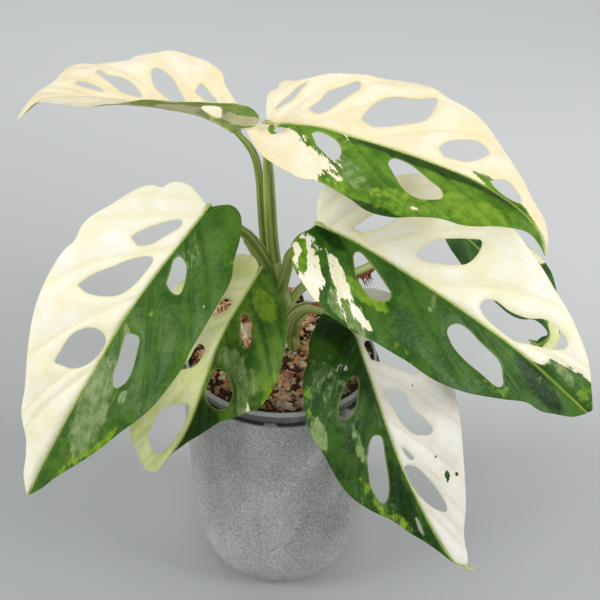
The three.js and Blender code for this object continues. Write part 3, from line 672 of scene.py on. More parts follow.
def smooth_curve(points, samples, mirror_ends):
    """A Catmull-Rom curve through points, with the ends mirrored or doubled."""
    points = np.asarray(points, float)
    first = 2 * points[0] - points[1] if mirror_ends else points[0]
    last = 2 * points[-1] - points[-2] if mirror_ends else points[-1]
    padded = np.vstack([first, points, last])
    place = np.linspace(0, len(points) - 1, samples)
    index = np.minimum(place.astype(int), len(points) - 2)
    t = (place - index)[:, None]
    p0, p1, p2, p3 = (padded[index + k] for k in range(4))
    rise, fall = 0.5 * (p2 - p0), 0.5 * (p3 - p1)
    return ((2 * p1 - 2 * p2 + rise + fall) * t**3 + (-3 * p1 + 3 * p2 - 2 * rise - fall) * t**2
            + rise * t + p1)


def radii_along(radii, count):
    place = np.linspace(0, len(radii) - 1, count)
    return np.interp(place, np.arange(len(radii)), radii)


# %% Lumps of coir: x, y, z and radius in millimetres
COIR_LUMPS = [(5, 34, 140, 8), (-2, 34, 135, 6), (14, 31, 135, 6), (-27, 27, 139, 8.5), (-9, 16, 134, 5),
              (5, -21, 133, 4.6), (3, -34, 131, 4.4), (-36, -4, 131, 5)]
COIR_STRANDS = 75
COIR_STRAND_RADII = [0.25, 0.6, 0.25]
COIR_FLATNESS = [1, 1, 0.75]
CORE_AXIS = [0.0, 0.2, 0.62]
CORE_END = 0.97
CORE_GIRTH = 0.72


def coir_finish():
    m = Finish("coir")
    place = m.place()
    tuft = m.noise(place, 260, 3, 0.6)
    grain = m.noise(place, 1500, 2, 0.6)
    tone = m.mix(tuft.step(0.35, 0.65), srgb(176, 112, 78), srgb(244, 202, 164))
    tone = m.mix(grain.step(0.5, 0.7) * 0.4, tone, srgb(252, 224, 192))
    # Painted shade: the thick core of each lump is dark brown, for the shade between its strands.
    tone = m.mix(m.attribute("girth", "Fac").step(0.7 * MM, 1.2 * MM), tone, srgb(44, 26, 17))
    return m.finish(Base_Color=tone, Roughness=0.95)


def coir_paths():
    """Short arcs wound round each lump's centre, over a thick core that fills the lump."""
    random = np.random.default_rng(7)
    paths = []
    for x, y, z, radius in COIR_LUMPS:
        centre = np.array([x, y, z], float)
        reach = np.linspace(-CORE_END, CORE_END, 13)
        core = centre + reach[:, None] * radius * np.array(CORE_AXIS)
        paths.append((core * MM, CORE_GIRTH * radius * np.sqrt(1 - reach**2) * MM))
        for _ in range(COIR_STRANDS):
            start, side = np.linalg.qr(random.normal(size=(3, 2)))[0].T
            swing = np.linspace(0, random.uniform(0.7, 1.5), 6)[:, None]
            depth = radius * random.uniform(0.8, 1.1)
            arc = centre + depth * (start * np.cos(swing) + side * np.sin(swing)) * COIR_FLATNESS
            paths.append((arc * MM, radii_along(COIR_STRAND_RADII, len(arc)) * MM))
    return paths


coir_sweep = sweep_tree("coir_sweep", coir_finish(), 0.0, 5)
stand_for(coir_sweep.run("coir_lumps", add_paths("coir", coir_paths())), "soil")

# %% [markdown]
# The shape of a leaf
#
# A leaf is a thin sheet, folded along its midrib and curled a little. It is easiest to draw flat: u runs
# along the midrib from stalk to tip, and v to its right. The outline and the holes are drawn in that flat
# measure, and the sheet then says where each flat point lies in space. These are the frame's own numbers,
# so the fine leaf lies where the plain one does.

# %% The seven leaves, drawn flat, in millimetres
# spine    the midrib's points in space
# facing   the way the upper face looks, at even stops from base to tip
# rise     degrees that each half folds up, and curl how far it goes on bending over 50 mm
# steady   the length over which the midrib's direction is averaged, where the spine turns sharply
# right    the outline of that half as (u, v) from base to tip, and left likewise
# holes    one closed line of (u, v) points for each hole
LEAVES = {
    "leaf_upper_left": {
        "spine": [(-21, 4, 253), (-38, 10, 258), (-62, 20, 257), (-83, 28, 255), (-101, 34, 252),
                  (-117, 40, 247), (-129, 43, 236)],
        "facing": [(0, 0.24, 0.97), (0, 0.13, 0.99), (0, 0, 1)],
        "rise": {"right": [31, 24, 12], "left": [42, 20.5, 16, 8, 2.5, 1]},
        "curl": {"right": [0, 0], "left": [0, 0]},
        "right": [(0, 0), (-3, 4), (-1, 9), (5, 13), (11, 17), (17, 22), (21, 28), (30, 33), (40, 35),
                  (50, 36.5), (57, 34), (65, 31.5), (68, 28.5), (76, 27), (84, 26), (92, 27), (98, 25.5),
                  (100.5, 21), (101, 15), (104, 10.5), (110, 8), (116, 5), (121, 0)],
        "left": [(0, 0), (-2, 6), (-9, 14), (-11, 24), (-7, 30), (0, 28), (9, 26), (22, 28), (44, 29),
                 (60, 25), (66, 21), (72, 20), (79, 17), (86, 13), (93, 8.5), (101, 5), (110, 2), (121, 0)],
        "holes": {
            "right": [
                [(26.5, 11.5), (27.5, 15.5), (27, 18), (24, 16.5), (20, 13.5), (15.5, 10.5), (16, 9),
                 (21, 8.5)],
                [(53, 20), (53.5, 23.5), (50.5, 24), (44, 20.5), (39, 16), (32, 8.5), (28.5, 5), (29.5, 3.5),
                 (35, 4), (42, 7.5), (49, 13)],
                [(80.5, 19), (79, 20.5), (73.5, 17), (66, 15.5), (59, 12), (51, 5), (52.5, 3.5), (60, 5),
                 (67, 9), (74.5, 14.5)],
                [(89, 11.5), (87, 12.5), (80, 10.5), (72, 6.5), (71.5, 5), (78, 6.5), (84.5, 8.5)],
            ],
            "left": [
                [(14.5, 15), (13, 20.5), (9, 21.5), (7.5, 19), (7.5, 13), (8, 7), (10.5, 4), (13.5, 6)],
                [(49, 19.5), (44, 19), (37, 15.5), (32.5, 8.5), (38, 9), (45, 13)],
            ],
        },
    },
    "leaf_upper_right": {
        "spine": [(-8, 2, 258), (13, -4, 260), (31, -10, 258), (49, -17, 256), (67, -24, 253),
                  (84, -32, 249), (99, -39, 242), (109, -43, 233), (113, -45, 222)],
        "facing": [(0, -0.34, 0.94), (0.1, -0.34, 0.94), (0.6, -0.34, 0.7)],
        "rise": {"right": [4, 4], "left": [4, 4]},
        "curl": {"right": [-12, -12], "left": [-8, -8]},
        "right": [(0, 0), (-4, 0.5), (-8, 2), (-7, 7), (-3.5, 12), (3, 19.5), (12, 25.5), (19, 28.5),
                  (26, 31), (35, 30.5), (43, 32), (53, 34.5), (61, 37), (71, 36), (81, 32.5), (93, 29),
                  (102, 27.5), (108, 24), (113, 19), (120, 12), (127, 6.5), (135, 4), (143, 0)],
        "left": [(0, 0), (-2, 6), (-4, 15), (-3.5, 19), (-0.5, 21.5), (-0.5, 24.5), (2, 26.5), (7, 26),
                 (13.5, 28), (20, 31.5), (27, 34), (33, 37), (40, 38.5), (47, 41), (55, 42.5), (63, 42),
                 (70, 38.5), (78, 36.5), (86, 33), (94, 27.5), (104, 21.5), (112, 17), (121, 10.5),
                 (129, 7), (137, 3), (143, 0)],
        "holes": {
            "right": [
                [(4.5, 4), (5.5, 2), (8, 2), (9, 4.5), (7.5, 6), (5, 5.5)],
                [(22.5, 5.5), (24.5, 3), (29.5, 3.5), (35, 6), (38.5, 11), (38.5, 15), (36.5, 17), (31, 14),
                 (26.5, 11)],
                [(60, 10), (60, 6), (63.5, 5), (71, 6.5), (79, 10), (85.5, 12.5), (88.5, 17), (86, 20),
                 (78.5, 22.5), (71, 20.5), (65, 15.5)],
            ],
            "left": [
                [(2, 8), (2.5, 11), (6, 16.5), (9, 22), (12.5, 25), (10.5, 19.5), (8.5, 14), (5, 10.5)],
                [(17, 9), (20, 14.5), (22, 21), (26.5, 26), (31, 31.5), (33, 28), (31, 23.5), (28, 16.5),
                 (25, 10), (20.5, 7)],
                [(40, 10.5), (40.5, 18), (43.5, 25.5), (50, 30.5), (58, 32.5), (65, 36.5), (66.5, 29),
                 (65, 21), (59, 16), (52.5, 11.5), (45, 8.5)],
                [(76, 8.5), (77.5, 13.5), (81.5, 17.5), (88, 21), (94, 19), (94, 15), (90, 8.5), (85.5, 6.5),
                 (79, 5.5)],
                [(101.5, 4), (105, 8), (109, 9.5), (115, 7), (117.5, 4.5), (114.5, 2), (109.5, 1.5),
                 (104, 2.5)],
            ],
        },
    },
    "leaf_left": {
        "spine": [(-33, -18, 226), (-65, -42, 189), (-86, -57, 156), (-104, -66, 123), (-116, -70, 98)],
        "facing": [(-0.3, -0.72, 0.62), (-0.3, -0.72, 0.62)],
        "rise": {"right": [5, 5], "left": [16, 16]},
        "curl": {"right": [-4, -4], "left": [-10, -10]},
        "right": [(0, 0), (-1.5, 6.5), (-2.5, 12), (-1, 17.5), (2, 21), (6, 23), (7.5, 27), (11.5, 31),
                  (18.5, 34.5), (26.5, 37.5), (35, 41), (41, 42), (48, 40.5), (54, 42), (61.5, 42.5),
                  (72, 42), (82, 40), (92, 36.5), (101, 32.5), (109.5, 28.5), (118, 25), (128, 22),
                  (133, 18.5), (139, 13), (147, 9), (155, 6), (163, 0)],
        "left": [(0, 0), (-4, 4.5), (-7, 10), (-6, 16), (-2, 20.5), (4, 24.5), (11, 28), (19, 33.5),
                 (28, 35.5), (40, 37), (53, 38), (62, 39.5), (74, 39), (84, 37.5), (94, 33.5), (103, 29),
                 (114, 24.5), (127, 18.5), (143, 10.5), (154, 5.5), (163, 0)],
        "holes": {
            "right": [
                [(32, 19.5), (28, 18.5), (21, 14.5), (14, 9), (12, 6), (14.5, 4.5), (22, 7.5), (29, 10.5),
                 (33, 15.5)],
                [(62.5, 27), (59, 26), (54, 23.5), (47, 18.5), (40, 14), (34, 8.5), (33.5, 5), (40, 4.5),
                 (49, 5.5), (56, 9), (61, 16.5), (63, 23)],
                [(98, 18), (91, 18.5), (82, 17.5), (75, 12.5), (73, 6.5), (75, 2), (82, 1.5), (90, 4.5),
                 (96, 10.5)],
            ],
            "left": [
                [(38, 8), (33, 5.5), (28, 3), (25, 4.5), (26, 10), (31, 14.5), (37, 17), (39, 15), (39, 11)],
                [(68, 5.5), (65, 8.5), (64.5, 13), (70, 16), (77, 18.5), (83, 19), (88, 16.5), (88.5, 13),
                 (84, 10), (77, 8.5)],
            ],
        },
    },
    "leaf_lower_left": {
        "spine": [(-10, -16, 192), (-18, -29, 183), (-26, -40, 172), (-33, -49, 155),
                  (-42, -58, 130), (-55, -62, 108)],
        "facing": [(-0.3, -0.75, 0.6), (-0.3, -0.75, 0.6)],
        "rise": {"right": [8, 8], "left": [8, 8]},
        "curl": {"right": [-6, -6], "left": [-8, -8]},
        "right": [(0, 0), (-4, 6), (0, 15), (14, 26), (34, 32), (58, 33), (80, 30), (96, 26), (105, 21),
                  (109, 14), (112.5, 8.5), (113, 4.5), (110, 1), (104, 0.5), (98, 0)],
        "left": [(0, 0), (-3, 3), (0, 6.5), (4.5, 11.5), (12, 20.5), (21, 27), (28.5, 30.5), (38, 33),
                 (46, 33), (53, 31.5), (59, 29), (62, 25), (66.5, 21), (72, 14), (79, 9), (86, 4.5),
                 (92, 2), (98, 0)],
        "holes": {
            "right": [
                [(29.5, 8), (25, 8.5), (21, 8), (19, 5), (20.5, 3.5), (25.5, 4.5)],
                [(57.5, 12), (52, 10.5), (46, 9.5), (43, 8), (44.5, 5), (50.5, 5.5), (55, 8)],
                [(100, 14), (93, 15.5), (84, 15.5), (77, 13), (72.5, 6), (73, 3), (82, 2.5), (92, 3),
                 (101.5, 4.5), (104, 9)],
            ],
            "left": [
                [(24.5, 4), (22, 5.5), (24, 9.5), (28.5, 13), (34.5, 14.5), (36, 12), (32, 8.5)],
                [(63.5, 2.5), (57, 2), (51.5, 3), (50, 6.5), (52.5, 12), (57.5, 15.5), (64, 15), (67.5, 10.5),
                 (66.5, 4.5)],
            ],
        },
    },
    "leaf_right": {
        "spine": [(16, -22, 221), (36, -25, 212), (73, -31, 190), (111, -36, 163), (145, -40, 132)],
        "facing": [(0.15, -0.66, 0.74), (0.15, -0.66, 0.74)],
        "rise": {"right": [10, 10], "left": [6, 6]},
        "curl": {"right": [-8, -8], "left": [-4, -4]},
        "right": [(0, 0), (-2.5, 4), (-6, 8.5), (-7.5, 14), (-6, 19.5), (-2, 24.5), (5, 30), (12, 34),
                  (22, 36.5), (34, 38), (45, 37), (55, 36.5), (65, 36), (77, 36.5), (88, 35), (98, 32),
                  (108, 27.5), (117, 23), (127, 17.5), (136, 16), (143, 12.5), (152, 7.5),
                  (157, 2.5), (159, 0)],
        "left": [(0, 0), (-3.5, 6), (-5, 12), (-4, 18), (4, 28), (19, 35), (28, 42), (40, 47), (60, 48),
                 (72, 46.5), (82, 44.5), (92, 41.5), (102, 38), (112, 33.5), (123, 29), (133, 24), (143, 19),
                 (152, 12), (158, 6.5), (161, 3), (159, 0)],
        "holes": {
            "right": [
                [(20.5, 7.5), (20.5, 4.5), (23, 3.5), (31, 6.5), (39, 10.5), (43.5, 13.5), (42.5, 17.5),
                 (36, 20), (29, 17), (24, 13)],
                [(75, 14.5), (74.5, 10.5), (78, 7), (84, 6.5), (94, 8.5), (104, 10.5), (109.5, 15.5),
                 (111, 19), (108, 21.5), (98, 21), (87, 20), (79, 17.5)],
            ],
            "left": [
                [(15, 5), (17, 9.5), (20, 15), (24.5, 20), (30, 21.5), (28.5, 16.5), (24, 10), (19, 5.5)],
                [(45, 9.5), (46.5, 14), (49.5, 20), (56, 25), (63, 29.5), (68.5, 32), (70, 26.5), (68, 19.5),
                 (62.5, 15), (54, 10.5), (48, 8.5)],
                [(83.5, 5.5), (83.5, 9.5), (88.5, 12.5), (97, 12.5), (106, 15), (113, 19.5), (120.5, 20.5),
                 (128, 19), (129.5, 15.5), (124.5, 11), (115, 6.5), (106, 2.5), (95, 2.5), (87, 3.5)],
            ],
        },
    },
    "leaf_lower_right": {
        "spine": [(21, -16, 169), (34, -24, 164), (41, -36, 151), (59, -56, 109), (83, -64, 62),
                  (94, -65, 52)],
        "facing": [(0.33, -0.75, 0.57), (0.33, -0.75, 0.57)],
        "rise": {"right": [8, 8], "left": [8, 8]},
        "curl": {"right": [-10, -10], "left": [-4, -4]},
        "steady": 14,
        "right": [(0, 0), (-1, 3), (0.5, 8), (3.5, 16.5), (9.5, 22.5), (16, 27), (23, 30.5), (33, 34),
                  (41, 36.5), (49, 37.5), (56, 36.5), (63, 34.5), (75, 32.5), (83.5, 30), (93, 24.5),
                  (103, 17.5), (116, 11.5), (129, 5.5), (142, 1.5), (154, 0)],
        "left": [(0, 0), (-2, 8), (6, 20), (22, 30), (42, 36), (60, 37), (72, 35.5), (88, 32), (105, 27.5),
                 (121, 21.5), (136, 14.5), (147, 9), (152, 4), (154, 0)],
        "holes": {
            "right": [
                [(46.5, 20.5), (42, 17), (38, 12.5), (36, 8.5), (38, 6.5), (44, 9), (50, 13), (52.5, 18.5),
                 (50, 21.5)],
                [(73.5, 15.5), (67.5, 12), (65, 8), (67.5, 4.5), (75, 6), (84.5, 8.5), (92, 12), (94.5, 16),
                 (91.5, 18.5), (82, 18.5)],
                [(111.5, 5.5), (114, 4.5), (122.5, 5.5), (117.5, 6.5)],
            ],
            "left": [
                [(24.5, 2), (23, 4), (26, 9), (31, 16), (38.5, 21), (43.5, 23), (45, 21), (42, 16.5),
                 (35.5, 9), (31, 3)],
                [(49, 4), (48.5, 9), (52, 13), (59, 14), (67, 18), (74, 20.5), (76.5, 18), (73, 11.5),
                 (66, 7.5), (56, 5.5)],
                [(76, 3), (78.5, 5), (84, 7), (84, 5), (80, 3.5)],
                [(86.5, 0.5), (86, 3), (89.5, 6.5), (97, 9), (107, 11), (116, 11.5), (120, 9.5), (114.5, 5.5),
                 (105, 2), (95, 0.5)],
            ],
        },
    },
    "leaf_back": {
        "spine": [(83, 58, 176), (100, 66, 157), (118, 70, 137), (136, 72, 117), (148, 70, 99),
                  (143, 66, 92), (136, 62, 99)],
        "facing": [(0.55, -0.35, 0.75), (0.6, -0.3, 0.7), (0.6, -0.3, 0.7)],
        "rise": {"right": [8, 8], "left": [8, 8]},
        "curl": {"right": [-4, -4], "left": [-4, -4]},
        "right": [(0, 0), (-5, 8), (-4, 16), (5, 21), (14, 24), (32, 28), (50, 29), (62, 26), (75, 19),
                  (88, 9), (100, 5), (112, 3), (124, 0)],
        "left": [(0, 0), (-5, 7), (-4, 15), (6, 22), (20, 26), (37, 28), (54, 28), (69, 30), (84, 30),
                 (92, 25), (98, 18), (104, 11), (113, 4), (124, 0)],
        "holes": {
            "right": [
                [(43, 6), (42, 9), (50, 12), (58, 12), (58, 9), (50, 6.5)],
            ],
            "left": [
                [(20, 6.5), (19, 10), (27, 14), (33, 14.5), (33, 11), (26, 7)],
                [(44, 6.5), (44, 10), (52, 13), (60, 13.5), (60, 10), (52, 7)],
            ],
        },
    },
}

# %% [markdown]
# Where a leaf is cream and where it is green
#
# On a variegated plant each stripe of cells is cream or green by chance, and the stripes run along the
# veins. So a leaf's colour is a field of numbers rather than a picture: every half starts cream or green,
# and soft patches push the field up or down. The material adds noise that is stretched along the veins
# and cuts the field at nought, which gives the torn edges of real variegation.

# %% The colour of each half, and its patches
# A patch is (layer, u, v, half length, half width, turn in degrees, push). v below nought is the left half.
# Layers: "cream", "light" for yellow green, and "pale" for the thin grey green of half-coloured cells.
# A push below nought takes the layer away, and in "pale" it goes on to a deep green, which is partly painted
# shade on the leaves' shaded lower parts and base lobes.
COLOURS = {
    "leaf_upper_left": {
        "right": "cream", "left": "green",
        "patches": [
            ("cream", 82, -12, 72, 24, 0, 3.2), ("cream", 23, -24, 23, 4.5, -3, -2.2),
            ("pale", -3, -15, 15, 8, -37, 2.8), ("light", -2, -28, 14, 6, 0, 2.0),
            ("cream", -3, -15, 13, 4.5, -37, 2.1),
        ],
    },
    "leaf_upper_right": {
        "right": "green", "left": "cream",
        "patches": [
            ("cream", 0, 14, 26, 14, 20, 3.4), ("cream", 22, 25, 14, 9, 25, 2.8),
            ("cream", 38, 20, 12, 5, 50, 1.4), ("cream", 0, 2, 9, 4, 0, 2.0),
            ("cream", 6, 1, 6, 2.2, 0, -2.6), ("cream", 79, 28, 6, 1.2, -8, 1.5),
            ("cream", 38, 3, 4, 2, 30, 1.4), ("light", 38, 6, 8, 3, 20, 1.5),
            ("light", 42, 30, 12, 4, 0, 1.7), ("pale", 47, 22, 13, 6, 30, 1.6),
            ("cream", 4, 5, 3, 1.8, 40, -4.8), ("light", 90, 22, 26, 9, -12, 1.3),
            ("light", 66, 29, 12, 7, 0, 0.8),
            ("light", 106, 15, 16, 7, -20, 1.2), ("pale", 108, -5, 20, 2.5, -3, 1.6),
            ("cream", 109, -2.5, 17, 2.6, -6, -2.9), ("pale", 80, 2, 42, 3.5, 0, -2.2),
            ("pale", 62, 36, 22, 2.5, 0, -2.1),
        ],
    },
    "leaf_left": {
        "right": "cream", "left": "green",
        "patches": [
            ("pale", 103, -10, 23, 8.5, 13, 2.9), ("pale", 89, -22, 3, 2, 0, 2.4),
            ("pale", 66, -6, 5, 1.6, 60, 2.0), ("light", 112, -24, 12, 1.6, -18, 2.2),
            ("light", 130, -15, 16, 2, -20, 1.5), ("light", 52, -11, 2, 1.5, 0, 1.4),
            ("pale", 20, -8, 14, 6, 50, 0.9), ("light", 8, -24, 10, 5, 40, 0.8),
        ],
    },
    "leaf_lower_left": {
        "right": "cream", "left": "green",
        "patches": [
            ("light", 15.5, -12, 9, 5, 62, 2.3), ("pale", 44, -8, 9, 6, 60, 1.2),
            ("pale", 50, -19, 12, 6, 50, 1.3), ("light", 48, -31, 11, 2.5, 0, 1.7),
            ("pale", 62, -22, 7, 3, 20, 2.3), ("cream", 61, -25, 4, 1.5, 20, 1.8),
            ("light", 80, 20, 30, 14, 0, 0.8), ("cream", 106, 10, 12, 14, 0, -0.5),
            ("pale", 84, -6, 20, 9, 0, -2.6),
        ],
    },
    "leaf_right": {
        "right": "green", "left": "cream",
        "patches": [
            ("cream", 3, 20, 16, 6.5, 56, 2.4), ("cream", 16, 17.5, 12, 3.4, 38, 2.6),
            ("cream", 9, 17.5, 5.5, 1.8, 65, -2.6), ("cream", -2, 14, 4, 1.6, 60, -1.9),
            ("cream", 0, 21, 4, 1.5, 60, -1.8), ("cream", 37, 31, 8, 2, 20, 2.4),
            ("cream", 26, 29, 14, 5, 30, 1.3), ("light", 33, 20, 13, 3.6, 8, 2.4),
            ("light", 24, 26, 14, 4, 30, 1.6), ("light", -4, 16, 12, 9, 60, 2.2),
            ("light", 60, 34, 16, 3, 5, 0.9), ("light", 108, 22, 14, 4, -20, 1.2),
            ("pale", 28, 31, 15, 5, 15, 2.6), ("pale", 62, 6, 5, 1.6, 80, 1.7),
            ("cream", 146, -3, 22, 8.5, 3, -3.4), ("pale", 134, -7, 13, 2.5, -12, 1.9),
            ("light", 154, -6, 8, 7, 0, 1.3), ("light", 128, 5, 10, 4, 10, 0.9),
            ("pale", 128, 7, 18, 5, 10, -2.2), ("pale", 8, 4, 9, 3, 20, -2.1),
        ],
    },
    "leaf_lower_right": {
        "right": "green", "left": "cream",
        "patches": [
            ("pale", 53, 34, 7, 3.5, 0, 2.8), ("pale", 66, 17, 12, 2.5, 0, 1.6),
            ("pale", 32, 22, 20, 8, 0, 0.9), ("cream", 30, 13, 5, 2, -70, 1.5),
            ("light", 100, 16, 24, 5, -15, 1.3), ("light", 40, 34, 12, 3, 10, 1.2),
            ("cream", 102, -18, 4, 1.3, -20, -2.6), ("cream", 105, -23, 1.6, 0.9, 20, -3.0),
            ("cream", 50, -18, 0.8, 0.6, 0, -3.0), ("cream", 89, -17, 0.7, 0.6, 0, -3.0),
            ("pale", 122, -12, 16, 5, 10, 1.0), ("pale", 98, 8, 24, 5, 0, -2.5),
            ("pale", 12, 7, 15, 7, 0, -2.0),
        ],
    },
    "leaf_back": {
        "right": "green", "left": "green",
        "patches": [
            ("cream", 62, -25, 9, 4, 10, 2.6), ("light", 54, -27, 7, 4, 10, 2.0),
            ("cream", 74, -28, 8, 3, 10, 2.6), ("cream", 104, -5, 14, 5, 0, 2.4),
            ("light", 66, -22, 16, 5, 10, 0.9), ("light", 30, -18, 14, 6, 20, 0.9),
        ],
    },
}

# %% [markdown]
# The bent sheet
#
# The midrib is a smooth curve through the points of the spine. At each u it has a direction along the
# leaf, a direction up out of its face and one to its right, and a half leaf is laid off from there at an
# angle that can go on bending. All points are worked out together, as arrays, because a fine leaf has
# many thousands of them.

# %% A leaf's sheet
FOLD_ROUNDING = 1.1
CURL_REFERENCE = 50
SPINE_SAMPLES = 1500


def at_stops(stops, place):
    """Values given at even stops from 0 to 1, read at place with a soft change between the stops."""
    stops = np.asarray(stops, float)
    last = len(stops) - 1
    place = np.clip(place, 0, 1)
    index = np.minimum((place * last).astype(int), last - 1)
    part = place * last - index
    part = part * part * (3 - 2 * part)
    if stops.ndim > 1:
        part = part[:, None]
    return stops[index] * (1 - part) + stops[index + 1] * part


def unit(vectors):
    return vectors / np.linalg.norm(vectors, axis=1, keepdims=True)


class Sheet:
    """The bent surface of one leaf: flat points go in, and points in space come out."""

    def __init__(self, leaf):
        self.leaf = leaf
        self.line = smooth_curve(leaf["spine"], SPINE_SAMPLES, True)
        steps = np.linalg.norm(np.diff(self.line, axis=0), axis=1)
        self.reached = np.concatenate([[0], np.cumsum(steps)])
        self.length = self.reached[-1]
        self.along = unit(np.gradient(self.line, axis=0))
        if "steady" in leaf:
            apart = (self.reached[:, None] - self.reached[None, :]) / leaf["steady"]
            self.along = unit(np.exp(-apart**2) @ self.along)

    def read(self, table, u):
        return np.column_stack([np.interp(u, self.reached, table[:, axis]) for axis in range(3)])

    def frame(self, u):
        place = np.clip(u / self.length, 0, 1)
        along = unit(self.read(self.along, u))
        middle = self.read(self.line, u) + along * (u - np.clip(u, 0, self.length))[:, None]
        facing = at_stops(self.leaf["facing"], place)
        up = unit(facing - along * np.sum(facing * along, axis=1, keepdims=True))
        return place, middle, up, np.cross(along, up)

    def at(self, u, v):
        """Points and normals. The fold is rounded for a millimetre on each side of the midrib."""
        place, middle, up, right = self.frame(u)
        left = v < 0

        def own_half(angles):
            both = (np.radians(at_stops(angles[side], place)) for side in ("left", "right"))
            return np.where(left, *both)

        rise = own_half(self.leaf["rise"])
        curl = own_half(self.leaf["curl"]) / CURL_REFERENCE + 1e-9
        reach = np.abs(v)
        soft = np.sqrt(reach**2 + FOLD_ROUNDING**2)
        angle = rise + curl * reach
        across = (np.sin(angle) - np.sin(rise)) / curl
        lift = (np.cos(rise) - np.cos(rise + curl * (soft - FOLD_ROUNDING))) / curl
        out = right * np.where(left, -1, 1)[:, None]
        tilt = angle * reach / soft
        normal = up * np.cos(tilt)[:, None] - out * np.sin(tilt)[:, None]
        return middle + out * across[:, None] + up * lift[:, None], normal


sheets = {name: Sheet(leaf) for name, leaf in LEAVES.items()}
print({name: round(sheet.length) for name, sheet in sheets.items()})

# %% [markdown]
# Veins
#
# Side veins leave the midrib at a wide angle near the stalk and at a narrow one near the tip. Following
# them back from any point to the midrib gives a number, the vein's root, that stays the same all along
# one vein. That one number places the main veins, which run between the holes, and stretches every
# pattern along them.

# %% Following the veins back to the midrib
VEIN_ANGLES = [62, 47, 35, 23, 13, 9]
VEIN_STEPS = 24
LOBE_OPENING = 4.5
LOBE_LENGTH = 14
BEFORE_FIRST_HOLE = (16, 8)
AFTER_LAST_HOLE = (9, 20)


def vein_angle(u, length):
    """The angle between a side vein and the midrib, in radians. It opens on into the base lobes."""
    spread = np.radians(at_stops(VEIN_ANGLES, u / length))
    return spread + np.radians(LOBE_OPENING) * np.clip(-u, 0, LOBE_LENGTH)


def vein_root(u, v, length):
    step = np.abs(v) / VEIN_STEPS
    root = np.array(u, float)
    for _ in range(VEIN_STEPS):
        root = root - step / np.tan(vein_angle(root, length))
    return root


def main_veins(leaf, side, length):
    """The roots of one half's main veins: one between each two holes, and some before and after."""
    holes = np.array([np.mean(hole, axis=0) for hole in leaf["holes"][side]])
    roots = np.sort(vein_root(holes[:, 0], holes[:, 1], length))
    between = (roots[1:] + roots[:-1]) / 2
    before = [roots[0] - gap for gap in BEFORE_FIRST_HOLE]
    after = [roots[-1] + gap for gap in AFTER_LAST_HOLE]
    return np.concatenate([before, between, after])


# %% [markdown]
# The mesh of a leaf
#
# The flat leaf is filled with rows of points, one of them along the midrib, and split into triangles by
# Blender's constrained Delaunay function, which keeps the outline and the holes as edges. Every flat point
# gets a height: it sinks over a vein, swells between veins and waves at the margin. The same triangles
# make both faces, a strip closes the rim, and the back carries the veins and the midrib as ribs. A leaf
# could be a plane with a see-through picture, but then it would have no edge, no thickness and no shadow
# of its own.

# %% Outlines, in millimetres
EDGE_STEP = 0.9
OUTLINE_SAMPLES = 1200
HOLE_SAMPLES = 30


def even_points(line, spacing, closed=False):
    """Points at even steps along a line."""
    if closed:
        line = np.vstack([line, line[:1]])
    reached = np.concatenate([[0], np.cumsum(np.linalg.norm(np.diff(line, axis=0), axis=1))])
    count = max(8, round(reached[-1] / spacing))
    wanted = np.linspace(0, reached[-1], count + 1)
    points = np.column_stack([np.interp(wanted, reached, line[:, k]) for k in range(2)])
    return points[:-1] if closed else points


def half_outline(points, side):
    line = smooth_curve(points, OUTLINE_SAMPLES, False) * [1, side]
    return even_points(line, EDGE_STEP)


def hole_outline(points, side):
    """A closed smooth line: it starts one point early and ends one late, and the ends are cut off."""
    around = [points[-1], *points, points[0]]
    line = smooth_curve(around, (len(around) - 1) * HOLE_SAMPLES + 1, True)[HOLE_SAMPLES:-HOLE_SAMPLES - 1]
    return even_points(line * [1, side], 0.8 * EDGE_STEP, closed=True)


def inside(loop, points):
    """Which points lie inside a closed loop."""
    result = np.zeros(len(points), bool)
    for a, b in zip(loop, np.roll(loop, -1, axis=0)):
        crosses = (a[1] > points[:, 1]) != (b[1] > points[:, 1])
        if crosses.any():
            x = a[0] + (points[:, 1] - a[1]) * (b[0] - a[0]) / (b[1] - a[1] + 1e-12)
            result ^= crosses & (points[:, 0] < x)
    return result


def distance_to(points, loop):
    """Each point's distance to the nearest point of a loop."""
    best = np.full(len(points), 1e9)
    for start in range(0, len(points), 2000):
        part = points[start:start + 2000, None, :] - loop[None, :, :]
        best[start:start + 2000] = np.sqrt((part**2).sum(axis=2)).min(axis=1)
    return best


def within(outline, holes, points):
    """Which points lie in the leaf and in none of its holes."""
    result = inside(outline, points)
    for hole in holes:
        result &= ~inside(hole, points)
    return result


# %% The flat leaf in triangles
GRID = 1.05
ROW_SHARE = 0.87
EDGE_CLEARANCE = 0.55


def field_points(outline, length):
    """A row of points along the midrib, and staggered rows on both sides of it."""
    low, high = outline.min(axis=0), outline.max(axis=0)
    rib = np.arange(GRID, length - 1, GRID)
    rows = [np.column_stack([rib, np.zeros(len(rib))])]
    for row in range(int((high[1] - low[1]) / (GRID * ROW_SHARE)) + 2):
        offset = (row + 0.5) * GRID * ROW_SHARE
        line = np.arange(low[0] + (row % 2) * GRID / 2, high[0], GRID)
        rows += [np.column_stack([line, np.full(len(line), side * offset)]) for side in (1, -1)]
    return np.vstack(rows)


